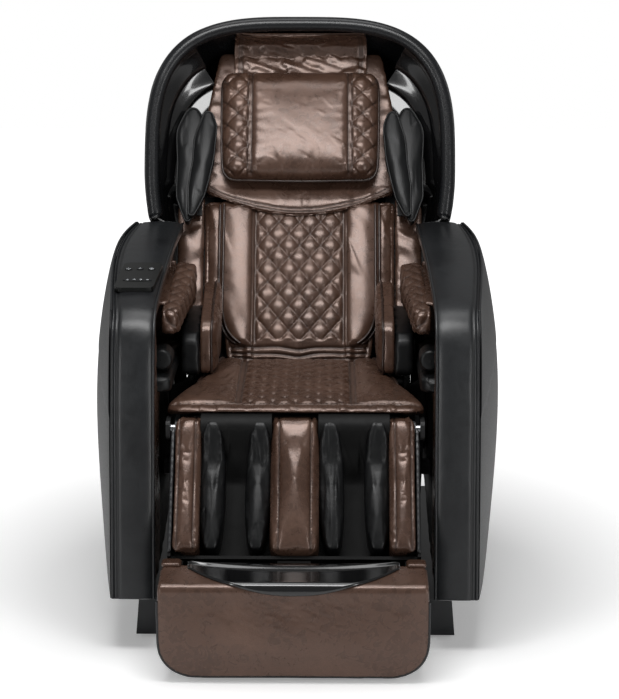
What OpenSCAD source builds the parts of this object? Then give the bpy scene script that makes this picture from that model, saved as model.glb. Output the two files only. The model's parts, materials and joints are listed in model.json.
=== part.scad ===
// Reclining massage chair with a gliding, tilting seat.
// X points to the chair's left-hand sitter side (viewer's right), Y backwards, Z up, floor at Z = 0.
// Millimetres. The origin is on the floor, under the middle of the chair's outline.

/* [Joints] */
// Height of the backrest pivot
hip_z = 320; // [310:2:330]
// Height of the leg rest pivot
knee_z = 400; // [396:1:404]
// Distance from the backrest pivot forward to the leg rest pivot
thigh_l = 472; // [460:2:490]
// Height of the seat tilt pivot
tilt_z = 150; // [146:1:156]
// Distance from the backrest pivot back to the tilt pivot
tilt_back = 180; // [172:2:188]
// Lean of the backrest from upright when stored
back_lean = 30; // [28:1:32]
// Lean of the calf rest from upright when stored
leg_lean = 36.4; // [35:0.2:38]
// Radius of the backrest pivot pins
hip_pin_r = 10; // [8:0.5:11]
// Radius of the leg rest and tilt pivot pins
small_pin_r = 8; // [6:0.5:9]

/* [Seat] */
// Height of the top of the seat cushion
seat_top_z = 440; // [436:1:446]
// Half width of the cushion at its front edge
seat_front_half = 240; // [230:1:240]
// Half width of the cushion at its rear edge
seat_rear_half = 184; // [170:2:200]
// Height of the cushion's lower face
seat_under_z = 342; // [341:1:350]
// Thickness of the seat frame's side plates
plate_t = 8; // [6:0.5:10]
// Distance from the middle plane to the side plates
plate_x = 231; // [231:0.5:232]

/* [Arms] */
// Half width over the side panels where they are fullest
arm_half = 400; // [390:2:420]
// Half width over the side panels at their front edge
arm_edge_half = 340; // [334:2:350]
// Height of the arm tops
arm_top_z = 696; // [690:1:700]
// Fall of the arm tops towards their front end
arm_top_fall = 62; // [50:2:70]
// Height of the side panels' lower edge
arm_low_z = 102; // [98:2:112]
// Thickness of the side panels
arm_skin = 5; // [3:0.5:6]
// Thickness of the leather band round each arm
band_t = 24; // [18:1:28]
// Half gap between the arm bands at the front
band_gap_half = 257; // [252:1:262]

/* [Backrest] */
// Distance from the pivot to the top of the backrest cushions
back_len = 775; // [760:5:780]
// Half width of the backrest cushion
back_pad_half = 200; // [190:2:204]
// Distance from the pivot's plane to the backrest's front surface
back_face = 77; // [75:1:80]
// Thickness of the backrest cushion
back_pad_t = 32; // [28:1:32]
// Half width over the rear cover
back_half = 229; // [228.5:0.25:229.5]
// Distance from the pivot's plane to the rear cover's outer face
back_rear = 74; // [72:1:78]
// Wall of the rear cover and the hood
cover_t = 4; // [3:0.5:5]

/* [Hood] */
// Half width over the hood
hood_half = 323; // [315:1:330]
// Height of the hood's crown over the backrest cushions
hood_rise = 28; // [23:1:37]
// Forward reach of the hood's crown from the pivot's plane
hood_reach_top = 187; // [180:1:195]
// Forward reach of the hood's lower ends from the pivot's plane
hood_reach_low = 87; // [80:1:95]
// Thickness of the padded hood rim
rim_t = 30; // [24:1:34]

/* [Pillow] */
// Half width of the head pillow
pillow_half = 166; // [150:2:176]
// Height of the head pillow along the backrest
pillow_l = 248; // [220:4:256]
// Thickness of the head pillow
pillow_t = 62; // [50:2:70]

/* [Leg rest] */
// Length of the calf rest below its pivot
calf_l = 255; // [250:1:262]
// Half width over the calf rest
calf_half = 229; // [228:0.25:229.5]
// Depth of the calf wells
calf_depth = 83; // [80:1:84]
// Half width of the middle calf cushion
calf_mid_half = 42; // [36:1:46]

/* [Foot unit] */
// Half width over the foot panel
foot_half = 241; // [238:1:246]
// Height of the foot panel's lower edge
foot_low_z = 11; // [10:1:16]
// Height of the foot panel's upper edge
foot_top_z = 172; // [166:1:176]
// Distance from the leg rest pivot forward to the foot panel's face
foot_reach = 268; // [262:2:276]
// Thickness of the padded foot panel
foot_panel_t = 16; // [12:1:18]

/* [Base] */
// Half width over the base skirts
base_half = 299; // [296:1:304]
// Height of the base skirts
skirt_top_z = 78; // [74:1:80]
// Length of the base frame's side tubes
base_l = 770; // [760:5:790]
// Height of the side tubes' top face
tube_top_z = 52; // [50:1:54]
// Radius of the transport wheels
wheel_r = 34; // [30:1:35]

/* [Controls] */
// Width of the control panel
panel_w = 74; // [66:1:76]
// Length of the control panel
panel_l = 150; // [130:2:160]
// Travel of the control keys
key_travel = 0.8; // [0.5:0.1:1]

/* [Hidden] */
$fn = 48;

// Fits: radial clearance of a turning or sliding shaft, of a pressed pin, and between soft pieces.
run_gap = 0.05;
press_gap = 0.02;
soft_gap = 0.3;

// The hood lies on the rear cover.
hood_rear = back_rear + cover_t + 1 + 2 * soft_gap;
hood_top = back_len + hood_rise;

// Hood surface: u runs along the rim from one lower end over the crown to the other, with
// height share v; a runs from 0 at the rim to 90 degrees at the rear.
hood_power = 2 / 3.3;
hood_leg_share = 0.26;
hood_low_r = 408;
hood_rear_share = 0.68;
function hood_v(u) = abs(u) > 1 ? hood_leg_share * (2 - abs(u))
    : hood_leg_share + (1 - hood_leg_share) * pow(cos(90 * abs(u)), hood_power);
function hood_rim_x(u, half) = sign(u) * (abs(u) > 1 ? half - 10 * pow(abs(u) - 1, 2)
    : half * pow(sin(90 * abs(u)), hood_power));
function hood_share(a) = hood_rear_share + (1 - hood_rear_share) * pow(cos(a), 0.6);
function hood_depth(a) = pow(sin(a), 0.8);
function hood_point(u, a, inset) =
    let (v = hood_v(u), front = -lerp(hood_reach_low, hood_reach_top, v),
         y = lerp(front, hood_rear - inset, hood_depth(a)),
         low = sqrt(pow(hood_low_r, 2) - y * y),
         top = lerp(480, hood_top - inset, hood_share(a)))
    [hood_rim_x(u, hood_half - inset) * hood_share(a), y, lerp(low, top, v)];
hood_us = [for (k = [-22 : 22]) abs(k) <= 16 ? k / 16 : sign(k) * (1 + (abs(k) - 16) / 6)];
function hood_grid(inset, a_to, steps) = [for (u = hood_us) [for (j = [steps : -1 : 0])
    hood_point(u, a_to * pow(j / steps, 1.4), inset)]];
// The origin is midway between the foot panel's face and the hood's back.
hood_back = max([for (row = hood_grid(0, 90, 9)) for (p = row)
    p.y * cos(back_lean) + p.z * sin(back_lean)]);
hip_y = (thigh_l + foot_reach - hood_back) / 2;
knee_y = hip_y - thigh_l;

// Strokes of the levers that the actuators push.
recline_half_deg = 25;
lift_half_deg = 30;
lever_r = 90;
leg_lever_r = 85;
rod_r = 9;
rod_pin_r = 6;
actuator_x = 90;
slot_r = 8.5;
lever_t = 6;

function unit(v) = v / norm(v);
function lerp(a, b, t) = a + (b - a) * t;
function turned(v, a) = [v.x * cos(a) - v.y * sin(a), v.x * sin(a) + v.y * cos(a)];

// Closed outline through [x, y, radius] corners, each one rounded by an arc.
function rounded(corners, steps = 4) = [
    for (i = [0 : len(corners) - 1]) each
        let (n = len(corners), c = corners[i], p = [c.x, c.y],
             before = corners[(i + n - 1) % n], after = corners[(i + 1) % n],
             u = unit([before.x, before.y] - p), v = unit([after.x, after.y] - p),
             half = acos(u * v) / 2)
        c[2] == 0 ? [p] :
        let (centre = p + unit(u + v) * c[2] / sin(half),
             start = p + u * c[2] / tan(half) - centre,
             sweep = sign(cross(start, p + v * c[2] / tan(half) - centre)) * (180 - 2 * half))
        [for (k = [0 : steps]) centre + turned(start, sweep * k / steps)]];

// Box outline with one corner radius.
function box_outline(x0, y0, x1, y1, r) =
    rounded([[x0, y0, r], [x1, y0, r], [x1, y1, r], [x0, y1, r]]);

// Point of the leg rest's own plane, given across and along it, as [y, z].
function leg_point(across, along) = [
    knee_y + across * cos(leg_lean) + along * sin(leg_lean),
    knee_z - across * sin(leg_lean) + along * cos(leg_lean)];

// Prism between x0 and x1 over an outline of [y, z] points.
module slab_x(x0, x1, outline) {
    translate([x0, 0, 0]) rotate([90, 0, 90]) linear_extrude(x1 - x0) polygon(outline);
}
module rod_x(x0, x1, y, z, r) {
    translate([x0, y, z]) rotate([0, 90, 0]) cylinder(r = r, h = x1 - x0);
}
module rod_y(x, y0, y1, z, r) {
    translate([x, y1, z]) rotate([90, 0, 0]) cylinder(r = r, h = y1 - y0);
}
module rod_z(x, y, z0, z1, r) {
    translate([x, y, z0]) cylinder(r = r, h = z1 - z0);
}
module block(low, high) {
    translate(low) cube(high - low);
}
module both_sides() {
    children();
    mirror([1, 0, 0]) children();
}
module left_side() {
    mirror([1, 0, 0]) children();
}
module at_hip() {
    translate([0, hip_y, 0]) children();
}
module back_space() {
    translate([0, hip_y, hip_z]) rotate([-back_lean, 0, 0]) children();
}
module leg_space() {
    translate([0, knee_y, knee_z]) rotate([-leg_lean, 0, 0]) children();
}

// Solid between an outer and an inner grid of points with equal rows and columns.
module plate(outer, inner) {
    rows = len(outer);
    cols = len(outer[0]);
    far = rows * cols;
    skin = [for (i = [0 : rows - 2], j = [0 : cols - 2]) each let (a = i * cols + j, b = a + cols)
        [[a, b, b + 1], [a, b + 1, a + 1]]];
    lining = [for (f = skin) [far + f[2], far + f[1], far + f[0]]];
    row_rims = [for (j = [0 : cols - 2]) each [
        [j, j + 1, far + j + 1, far + j],
        [far - cols + j + 1, far - cols + j, 2 * far - cols + j, 2 * far - cols + j + 1]]];
    col_rims = [for (i = [0 : rows - 2]) each [
        [(i + 1) * cols, i * cols, far + i * cols, far + (i + 1) * cols],
        [(i + 1) * cols - 1, (i + 2) * cols - 1, far + (i + 2) * cols - 1, far + (i + 1) * cols - 1]]];
    polyhedron(
        points = concat([for (r = outer) each r], [for (r = inner) each r]),
        faces = concat(skin, lining, row_rims, col_rims), convexity = 8);
}

// Solid through closed rings of points with equal counts.
module loft(rings) {
    n = len(rings[0]);
    m = len(rings);
    walls = [for (i = [0 : m - 2], j = [0 : n - 1]) each
        let (a = i * n + j, b = i * n + (j + 1) % n)
        [[a, b, b + n], [a, b + n, a + n]]];
    ends = [[for (j = [n - 1 : -1 : 0]) j], [for (j = [0 : n - 1]) (m - 1) * n + j]];
    polyhedron(points = [for (r = rings) each r], faces = concat(walls, ends), convexity = 8);
}

// Forearm trough's floor and roof.
trough_floor_z = 490;
trough_floor_t = 34;
trough_roof_z = 604;

// ---- Base ---------------------------------------------------------------------------------
tube_x = 200;
tube_w = 40;
tube_low_z = 12;
tube_rear = 300;
tube_front = tube_rear - base_l;
rail_t = 6;
carriage_low_z = tube_top_z + rail_t + soft_gap;
wheel_y = tube_rear - 30;
wheel_z = wheel_r + 2;
wheel_w = 22;
axle_r = 8;
box_depth = 103;
box_high = [60, tube_rear + 18, tube_top_z + 76];
box_low = [-160, box_high.y - box_depth, tube_top_z];
glide_z = 34;
glide_rod_r = 12;
glide_body_r = 20;
glide_body_front = -275;
skirt_t = 4;
skirt_front = tube_front - 20;

module base_frame() {
    color("dimgray") at_hip() {
        both_sides() {
            difference() {
                block([tube_x, tube_front, tube_low_z], [tube_x + tube_w, tube_rear, tube_top_z]);
                block([tube_x + 3, tube_front - 1, tube_low_z + 3],
                      [tube_x + tube_w - 3, tube_rear - 60, tube_top_z - 3]);
            }
            block([tube_x + 12, tube_front + 10, tube_top_z], [tube_x + 28, 205, tube_top_z + rail_t]);
            rod_x(tube_x + tube_w, tube_x + tube_w + 30, wheel_y, wheel_z, axle_r);
            rod_x(tube_x + tube_w + 29, tube_x + tube_w + 33, wheel_y, wheel_z, axle_r + 4);
        }
        for (y = [tube_front, tube_rear - 30])
            block([-tube_x, y, tube_low_z], [tube_x, y + 30, tube_top_z]);
        block([-tube_x, 0, tube_low_z], [tube_x, 30, tube_top_z]);
        block([-tube_x, 212, tube_low_z], [tube_x, 236, tube_top_z]);
        block([-tube_x, 30, tube_low_z], [tube_x, 212, tube_low_z + 3]);
    }
}

module base_skirt() {
    outer_x = base_half;
    inner_x = tube_x + tube_w + 3;
    flare = 6;
    at_hip() {
        // flared side wall
        translate([0, tube_rear + 4, 0]) rotate([90, 0, 0])
            linear_extrude(tube_rear + 4 - skirt_front)
                polygon([[outer_x - skirt_t, 6], [outer_x, 6], [outer_x - flare, skirt_top_z],
                         [inner_x, skirt_top_z], [inner_x, skirt_top_z - skirt_t],
                         [outer_x - flare - skirt_t, skirt_top_z - skirt_t]]);
        // front wall
        translate([0, skirt_front + skirt_t, 0]) rotate([90, 0, 0]) linear_extrude(skirt_t)
            polygon([[inner_x, 6], [outer_x - 0.5, 6], [outer_x - flare - 0.5, skirt_top_z - 1],
                     [inner_x, skirt_top_z - 1]]);
        // ribs that bolt to the side tube
        for (y = [tube_front + 10, 150])
            block([tube_x + tube_w, y, 20], [outer_x - flare, y + skirt_t, 48]);
    }
}
module base_skirt_left() {
    color("#2b2b2d") left_side() base_skirt();
}
module base_skirt_right() {
    color("#2b2b2d") base_skirt();
}

module floor_glides() {
    glide_l = 46;
    lip_t = 5.7;
    color("#1c1c1c") at_hip() both_sides() {
        for (y = [tube_front, tube_rear - glide_l])
            block([tube_x + 10, y, 0], [tube_x + tube_w, y + glide_l, tube_low_z]);
        // the front pair reaches out under the skirt
        block([tube_x + 10, tube_front, 0], [base_half - 28, tube_front + glide_l, lip_t]);
    }
}

inlet_at = [-110, box_high.y, box_high.z - 28];
switch_at = [-60, box_high.y, box_high.z - 28];
inlet_half = [15, 11];
switch_half = [8, 12];
module power_box() {
    wall = 3;
    color("#303236") at_hip() difference() {
        block(box_low, box_high);
        block(box_low + [wall, wall, wall], box_high - [wall, wall, wall]);
        block([inlet_at.x - inlet_half.x, box_high.y - 10, inlet_at.z - inlet_half.y],
              [inlet_at.x + inlet_half.x, box_high.y + 1, inlet_at.z + inlet_half.y]);
        block([switch_at.x - switch_half.x, box_high.y - 10, switch_at.z - switch_half.y],
              [switch_at.x + switch_half.x, box_high.y + 1, switch_at.z + switch_half.y]);
    }
}

module power_inlet() {
    rim = 2;
    depth = 20;
    color("#111111") at_hip() translate(inlet_at) {
        difference() {
            block([-inlet_half.x, -depth, -inlet_half.y], [inlet_half.x, 0, inlet_half.y]);
            block([-inlet_half.x + rim, 2 - depth, -inlet_half.y + rim],
                  [inlet_half.x - rim, 1, inlet_half.y - rim]);
        }
        for (x = [-7, 0, 7])
            block([x - 1, 1 - depth, x == 0 ? -5 : -8], [x + 1, -3, x == 0 ? -1 : -4]);
    }
}

module power_switch() {
    // bezel-free rocker on a pivot across the window
    inset = 0.4;
    color("#8a1d1d") at_hip() translate(switch_at) {
        slab_x(-switch_half.x + inset, switch_half.x - inset, [
            [-9, -switch_half.y + 3], [-9, switch_half.y - 3], [-1.5, switch_half.y - 1],
            [0.5, 0], [2, -switch_half.y + 1]]);
        rod_x(-switch_half.x, switch_half.x, -5, 0, 1.5);
    }
}

module air_pump() {
    color("#3a3d42") at_hip() {
        block([-105, 50, tube_low_z + 3], [105, 170, tube_top_z]);
        for (x = [-60, 0, 60]) rod_y(x, 170, 182, 34, 7);
    }
}

module transport_wheel() {
    hub_x = tube_x + tube_w + 4;
    color("#202124") at_hip() difference() {
        union() {
            rod_x(hub_x, hub_x + wheel_w, wheel_y, wheel_z, wheel_r);
            rod_x(hub_x - 3, hub_x + wheel_w + 2, wheel_y, wheel_z, axle_r + 5);
        }
        rod_x(hub_x - 4, hub_x + wheel_w + 3, wheel_y, wheel_z, axle_r + run_gap);
    }
}
module transport_wheel_left() {
    left_side() transport_wheel();
}
module transport_wheel_right() {
    transport_wheel();
}

module glide_actuator() {
    color("#55585d") at_hip() difference() {
        rod_y(0, glide_body_front, 0, glide_z, glide_body_r);
        rod_y(0, glide_body_front - 1, -20, glide_z, glide_rod_r + run_gap);
    }
}

// ---- Carriage -----------------------------------------------------------------------------
carriage_top_z = carriage_low_z + 25.7;
jack_back = -270;
jack_r = 26;
jack_top_z = 222;
jack_rod_r = 12;
push_plate_z = 242;
upright_x = [205, 215];
module glide_rod() {
    color("silver") at_hip() rod_y(0, glide_body_front - 7, -110, glide_z, glide_rod_r);
}

module glide_carriage() {
    color("#4c4f54") at_hip() {
        both_sides() {
            block([tube_x + 5, -330, carriage_low_z], [tube_x + 35, 205, carriage_top_z]);
            difference() {
                slab_x(upright_x[0], upright_x[1], rounded([
                    [tilt_back - 32, carriage_top_z - 4, 0], [tilt_back + 24, carriage_top_z - 4, 0],
                    [tilt_back + 22, tilt_z + 22, 18], [tilt_back - 22, tilt_z + 22, 18]]));
                rod_x(upright_x[0] - 1, upright_x[1] + 1, tilt_back, tilt_z, small_pin_r + run_gap);
            }
        }
        block([-tube_x - 5, -330, carriage_top_z - 20], [tube_x + 5, -230, carriage_top_z]);
        block([-tube_x - 5, 150, carriage_top_z - 20], [tube_x + 5, 200, carriage_top_z]);
        block([-25, glide_body_front - 17, glide_z - 14], [25, glide_body_front - 7, carriage_top_z]);
    }
}

module tilt_jack() {
    color("#55585d") at_hip() difference() {
        union() {
            rod_z(0, jack_back, carriage_top_z, jack_top_z, jack_r);
            rod_z(0, jack_back, carriage_top_z, carriage_top_z + 8, jack_r + 8);
        }
        rod_z(0, jack_back, carriage_top_z + 4, jack_top_z + 1, jack_rod_r + run_gap);
    }
}

module tilt_rod() {
    crown_z = push_plate_z - 0.5 - jack_rod_r;
    color("silver") at_hip() {
        rod_z(0, jack_back, carriage_top_z + 6, crown_z, jack_rod_r);
        translate([0, jack_back, crown_z]) sphere(r = jack_rod_r);
    }
}

// ---- Seat ---------------------------------------------------------------------------------
front_tube = [-350, 265];
rear_tube = [120, 190];
recline_z = hip_z - lever_r;
lift_z = knee_z - leg_lever_r;
pan_t = 6;
outrigger_z = [262, 286];
outrigger_y = [-280, -20];
outrigger_w = 30;
post_x = [270, 300];
module seat_frame() {
    outer = plate_x + plate_t;
    color("#5d6066") difference() {
        union() {
            both_sides() at_hip() slab_x(plate_x, outer, rounded([
                [-thigh_l - 18, knee_z - 17, 10], [-thigh_l - 18, knee_z + 17, 10],
                [-thigh_l + 32, knee_z + 17, 10], [-380, seat_under_z + 20, 20],
                [40, hip_z + 40, 25], [62, hip_z - 20, 20],
                [tilt_back + 34, tilt_z + 18, 18], [tilt_back + 20, tilt_z - 28, 18],
                [tilt_back - 36, tilt_z - 24, 18], [20, 235, 30], [-330, 235, 25],
                [-430, knee_z - 34, 20]]));
            at_hip() {
                rod_x(-plate_x - 1, plate_x + 1, front_tube.x, front_tube.y, 12);
                rod_x(-plate_x - 1, plate_x + 1, rear_tube.x, rear_tube.y, 12);
                block([-plate_x - 1, -300, push_plate_z], [plate_x + 1, -240, push_plate_z + 8]);
                block([-plate_x - 1, -385, seat_under_z - soft_gap - pan_t],
                      [plate_x + 1, -46, seat_under_z - soft_gap]);
                // brackets of the two drive actuators
                block([actuator_x - 30, -246, recline_z - 24], [actuator_x + 30, -240, push_plate_z + 4]);
                block([-actuator_x - 26, -130, lift_z - 22], [-actuator_x + 26, -124, seat_under_z - 4]);
                // outriggers that carry the arms, with posts under the forearm troughs
                both_sides() for (y = outrigger_y) {
                    reach = min(arm_x(y, outrigger_z[0]), arm_x(y + outrigger_w, outrigger_z[0]));
                    block([outer - 1, y, outrigger_z[0]],
                          [reach - arm_skin - 1, y + outrigger_w, outrigger_z[1]]);
                    block([post_x[0], y, outrigger_z[1] - 1],
                          [post_x[1], y + outrigger_w, trough_floor_z - trough_floor_t - soft_gap]);
                }
            }
        }
        both_sides() at_hip() {
            rod_x(plate_x - 1, outer + 1, 0, hip_z, hip_pin_r + press_gap);
            rod_x(plate_x - 1, outer + 1, -thigh_l, knee_z, small_pin_r + press_gap);
            rod_x(plate_x - 1, outer + 1, tilt_back, tilt_z, small_pin_r + press_gap);
        }
    }
}

back_plate_x = [218, 226];
lug_x = [215, 222];
module pivot_pins() {
    end = plate_x + plate_t;
    head = 4;
    color("gainsboro") at_hip() both_sides() {
        rod_x(back_plate_x[0] - soft_gap - 0.1, end, 0, hip_z, hip_pin_r);
        rod_x(back_plate_x[0] - soft_gap - head, back_plate_x[0] - soft_gap, 0, hip_z, hip_pin_r + 4);
        rod_x(lug_x[0] - soft_gap - 0.1, end, -thigh_l, knee_z, small_pin_r);
        rod_x(lug_x[0] - soft_gap - head, lug_x[0] - soft_gap, -thigh_l, knee_z, small_pin_r + 4);
        rod_x(upright_x[0] - soft_gap - 0.1, end, tilt_back, tilt_z, small_pin_r);
        rod_x(upright_x[0] - soft_gap - head, upright_x[0] - soft_gap, tilt_back, tilt_z, small_pin_r + 4);
    }
}

knee_round_r = 30.5;
seat_rear = -40;
seat_front = -thigh_l - 3;
seat_side_low_half = 205;
module seat_cushion() {
    lip = 22;
    color("#5a4037") at_hip() difference() {
        union() {
            translate([0, 0, seat_top_z - lip]) linear_extrude(lip) polygon(rounded([
                [-seat_front_half, seat_front, 26], [seat_front_half, seat_front, 26],
                [seat_front_half, seat_front + 50, 30], [seat_rear_half + 14, -240, 60],
                [seat_rear_half, seat_rear, 10], [-seat_rear_half, seat_rear, 10],
                [-seat_rear_half - 14, -240, 60], [-seat_front_half, seat_front + 50, 30]]));
            intersection() {
                slab_x(-seat_side_low_half, seat_side_low_half, rounded([
                    [seat_rear, seat_under_z, 6], [seat_rear, seat_top_z - lip, 0],
                    [-thigh_l + 34, seat_top_z - lip, 0], [-thigh_l + 34, knee_z - 6, 6],
                    [-thigh_l + 80, seat_under_z, 6]]));
                linear_extrude(seat_top_z) polygon([
                    [-seat_side_low_half, seat_front], [seat_side_low_half, seat_front],
                    [seat_side_low_half, -240], [seat_rear_half, seat_rear],
                    [-seat_rear_half, seat_rear], [-seat_side_low_half, -240]]);
            }
        }
        rod_x(-seat_front_half - 1, seat_front_half + 1, -thigh_l, knee_z, knee_round_r);
    }
}

module hip_bolster() {
    low = seat_top_z + soft_gap;
    color("#5a4037") at_hip() {
        slab_x(157, 190, rounded([
            [-235, low, 10], [-222, low + 100, 35], [-30, low + 158, 40], [36, low + 150, 20],
            [-46, low, 6]]));
        slab_x(189, 226, rounded([
            [-245, low, 10], [-232, low + 82, 30], [-30, low + 108, 30], [10, low + 104, 14],
            [-46, low, 6]]));
    }
}
module hip_bolster_left() {
    left_side() hip_bolster();
}
module hip_bolster_right() {
    hip_bolster();
}

// ---- Arms ---------------------------------------------------------------------------------
// The arm's side view is bounded by four curves: front edge, rear arc about the backrest pivot,
// lower edge and top edge. A point is placed by its share p from front to rear and q from low to high.
arm_front_low = -570;
arm_front_slope = 58 / 560;
arm_rear_r = 390;
function arm_front(z) = arm_front_low + (z - arm_low_z) * arm_front_slope
    + 70 * pow(max(0, z - arm_low_z) / 560, 7);
function arm_rear(z) = sqrt(pow(arm_rear_r, 2) - pow(z - hip_z, 2)) - 75 * pow(max(0, 1 - (z - 240) / 170), 3);
function arm_low(p) = arm_low_z + 146 * pow(max(0, p), 3);
function arm_high(p) = arm_top_z - arm_top_fall * pow(1 - p, 2) - 10 * pow(1 - p, 12);
function arm_z(p, q) = lerp(arm_low(p), arm_high(p), q);
function arm_y(p, q) = lerp(arm_front(arm_z(p, q)), arm_rear(arm_z(p, q)), p);
function arm_swell(p, q) = arm_edge_half + 20 * sin(180 * p)
    + (arm_half - arm_edge_half - 20) * pow(sin(180 * p) * sin(180 * q), 0.8);
function arm_share(y, z) = (y - arm_front(z)) / (arm_rear(z) - arm_front(z));
function arm_x(y, z) = let (p = arm_share(y, z))
    arm_swell(p, (z - arm_low(p)) / (arm_high(p) - arm_low(p)));

arm_steps = [14, 12];
function arm_grid(inset) = [for (i = [0 : arm_steps[0]]) [for (j = [arm_steps[1] : -1 : 0])
    let (p = i / arm_steps[0], q = j / arm_steps[1])
    [arm_swell(p, q) - inset, arm_y(p, q), arm_z(p, q)]]];
module arm_shell() {
    at_hip() plate(arm_grid(0), arm_grid(arm_skin));
}
module arm_shell_left() {
    color("#3c3f44") left_side() arm_shell();
}
module arm_shell_right() {
    color("#3c3f44") arm_shell();
}

// The leather band runs up the front edge and back along the top edge.
band_proud = 6;
band_up_steps = 10;
band_back_steps = 12;
function band_stop(k) = k <= band_up_steps ? [0, 0.98 * k / band_up_steps]
    : [0.965 * (k - band_up_steps) / band_back_steps, 0.98];
function band_inner_x(p) = lerp(band_gap_half, 241, p);
function band_outer_x(p) = arm_edge_half + 20 * sin(180 * p) - arm_skin - 0.5;
function band_at(k) = let (s = band_stop(k)) [arm_y(s[0], s[1]), arm_z(s[0], s[1])];
function band_dir(k) = unit(band_at(min(k + 1, band_up_steps + band_back_steps)) - band_at(max(k - 1, 0)));
// Ring of the band at stop k: an edge-rounded rectangle across the arm.
function band_ring(k) =
    let (p = band_stop(k)[0], c = band_at(k), d = band_dir(k), out = [-d.y, d.x],
         x0 = band_inner_x(p), x1 = band_outer_x(p), r = 8)
    [for (s = [[x0, -band_t + r], [x0, band_proud - r], [x0 + r * 0.3, band_proud - r * 0.3],
               [x0 + r, band_proud], [x1 - r, band_proud], [x1 - r * 0.3, band_proud - r * 0.3],
               [x1, band_proud - r], [x1, -band_t + r], [x1 - r, -band_t], [x0 + r, -band_t]])
        [s[0], c.x + out.x * s[1], c.y + out.y * s[1]]];
module arm_band() {
    at_hip() loft([for (k = [band_up_steps + band_back_steps : -1 : 0]) band_ring(k)]);
}
module arm_band_left() {
    color("#2e3034") left_side() arm_band();
}
module arm_band_right() {
    color("#2e3034") arm_band();
}

// Upholstered forearm trough: outer wall, roof, quilted pad that hangs at the inner side,
// padded floor and the round hand pad at its front.
trough_x = [246, 312];
module arm_pad() {
    color("#5a4037") at_hip() {
        slab_x(trough_x[1], trough_x[1] + 8, rounded([
            [-470, trough_floor_z - 40, 12], [-455, trough_roof_z - 18, 12],
            [-340, trough_roof_z + 4, 12], [20, trough_roof_z + 20, 12],
            [60, trough_floor_z - 40, 12]]));
        slab_x(trough_x[0] - 6, trough_x[1] + 1, rounded([
            [-330, trough_roof_z, 3], [-330, trough_roof_z + 8, 3], [0, trough_roof_z + 20, 4],
            [0, trough_roof_z, 4]]));
        slab_x(206, trough_x[0], rounded([
            [-370, 556, 18], [-355, 608, 18], [-40, 640, 24], [-15, 600, 24], [-60, 562, 18]]));
        slab_x(232, trough_x[1] + 1, rounded([
            [-430, trough_floor_z - trough_floor_t, 12], [-430, trough_floor_z, 14],
            [20, trough_floor_z, 14], [20, trough_floor_z - trough_floor_t, 12]]));
        rod_y(252, -400, -335, trough_floor_z + 19, 21);
    }
}
module arm_pad_left() {
    left_side() arm_pad();
}
module arm_pad_right() {
    arm_pad();
}

// ---- Controls -----------------------------------------------------------------------------
// The panel lies on the viewer's-left arm, in the slope of its top.
panel_at = [-299, -318];
panel_t = 9;
panel_tilt = atan(arm_high_slope());
function arm_high_slope() = (arm_top_near(panel_at.y + 30) - arm_top_near(panel_at.y - 30)) / 60;
function arm_top_near(y) = let (guess = arm_z(arm_share(y, arm_high(0.2)), 0.98),
                                closer = arm_z(arm_share(y, guess), 0.98))
    arm_z(arm_share(y, closer), 0.98);
key_skew = 10;
key_r = 7;
key_places = [[-22, 34], [0, 36], [22, 34]];
key_depth = 3;
module on_panel() {
    at_hip() translate([panel_at.x, panel_at.y,
        arm_top_near(panel_at.y) + band_proud / cos(panel_tilt) + 3 * soft_gap])
        rotate([panel_tilt, 0, 0]) children();
}
module arc_outline(r_in, r_out, half_deg) {
    polygon(concat(
        [for (k = [0 : 8]) let (a = -90 - half_deg + k * half_deg / 4) r_out * [cos(a), sin(a)]],
        [for (k = [8 : -1 : 0]) let (a = -90 - half_deg + k * half_deg / 4) r_in * [cos(a), sin(a)]]));
}
arc_centre = [0, 42];
arc_r = [66, 80];
arc_half_deg = 20;
module control_panel() {
    color("#101114") on_panel() difference() {
        linear_extrude(panel_t) polygon(rounded([
            [-panel_w / 2 - key_skew / 2, -panel_l / 2, 14], [panel_w / 2 - key_skew / 2, -panel_l / 2, 14],
            [panel_w / 2 + key_skew / 2, panel_l / 2, 14], [-panel_w / 2 + key_skew / 2, panel_l / 2, 14]]));
        for (k = key_places) translate([k.x, k.y, panel_t - key_depth - key_travel])
            cylinder(r = key_r + 0.3, h = 10);
        translate([arc_centre.x, arc_centre.y, panel_t - key_depth - key_travel])
            linear_extrude(10) arc_outline(arc_r[0] - 0.3, arc_r[1] + 0.3, arc_half_deg + 0.3);
    }
}
module round_key(i) {
    color("#1a1b1f") on_panel() translate([key_places[i].x, key_places[i].y, panel_t - key_depth])
        cylinder(r = key_r, h = key_depth + key_travel + 0.2);
}
module key_left() {
    round_key(0);
}
module key_middle() {
    round_key(1);
}
module key_right() {
    round_key(2);
}
module key_arc() {
    color("#1a1b1f") on_panel() translate([arc_centre.x, arc_centre.y, panel_t - key_depth])
        linear_extrude(key_depth + key_travel + 0.2) arc_outline(arc_r[0], arc_r[1], arc_half_deg);
}

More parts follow.
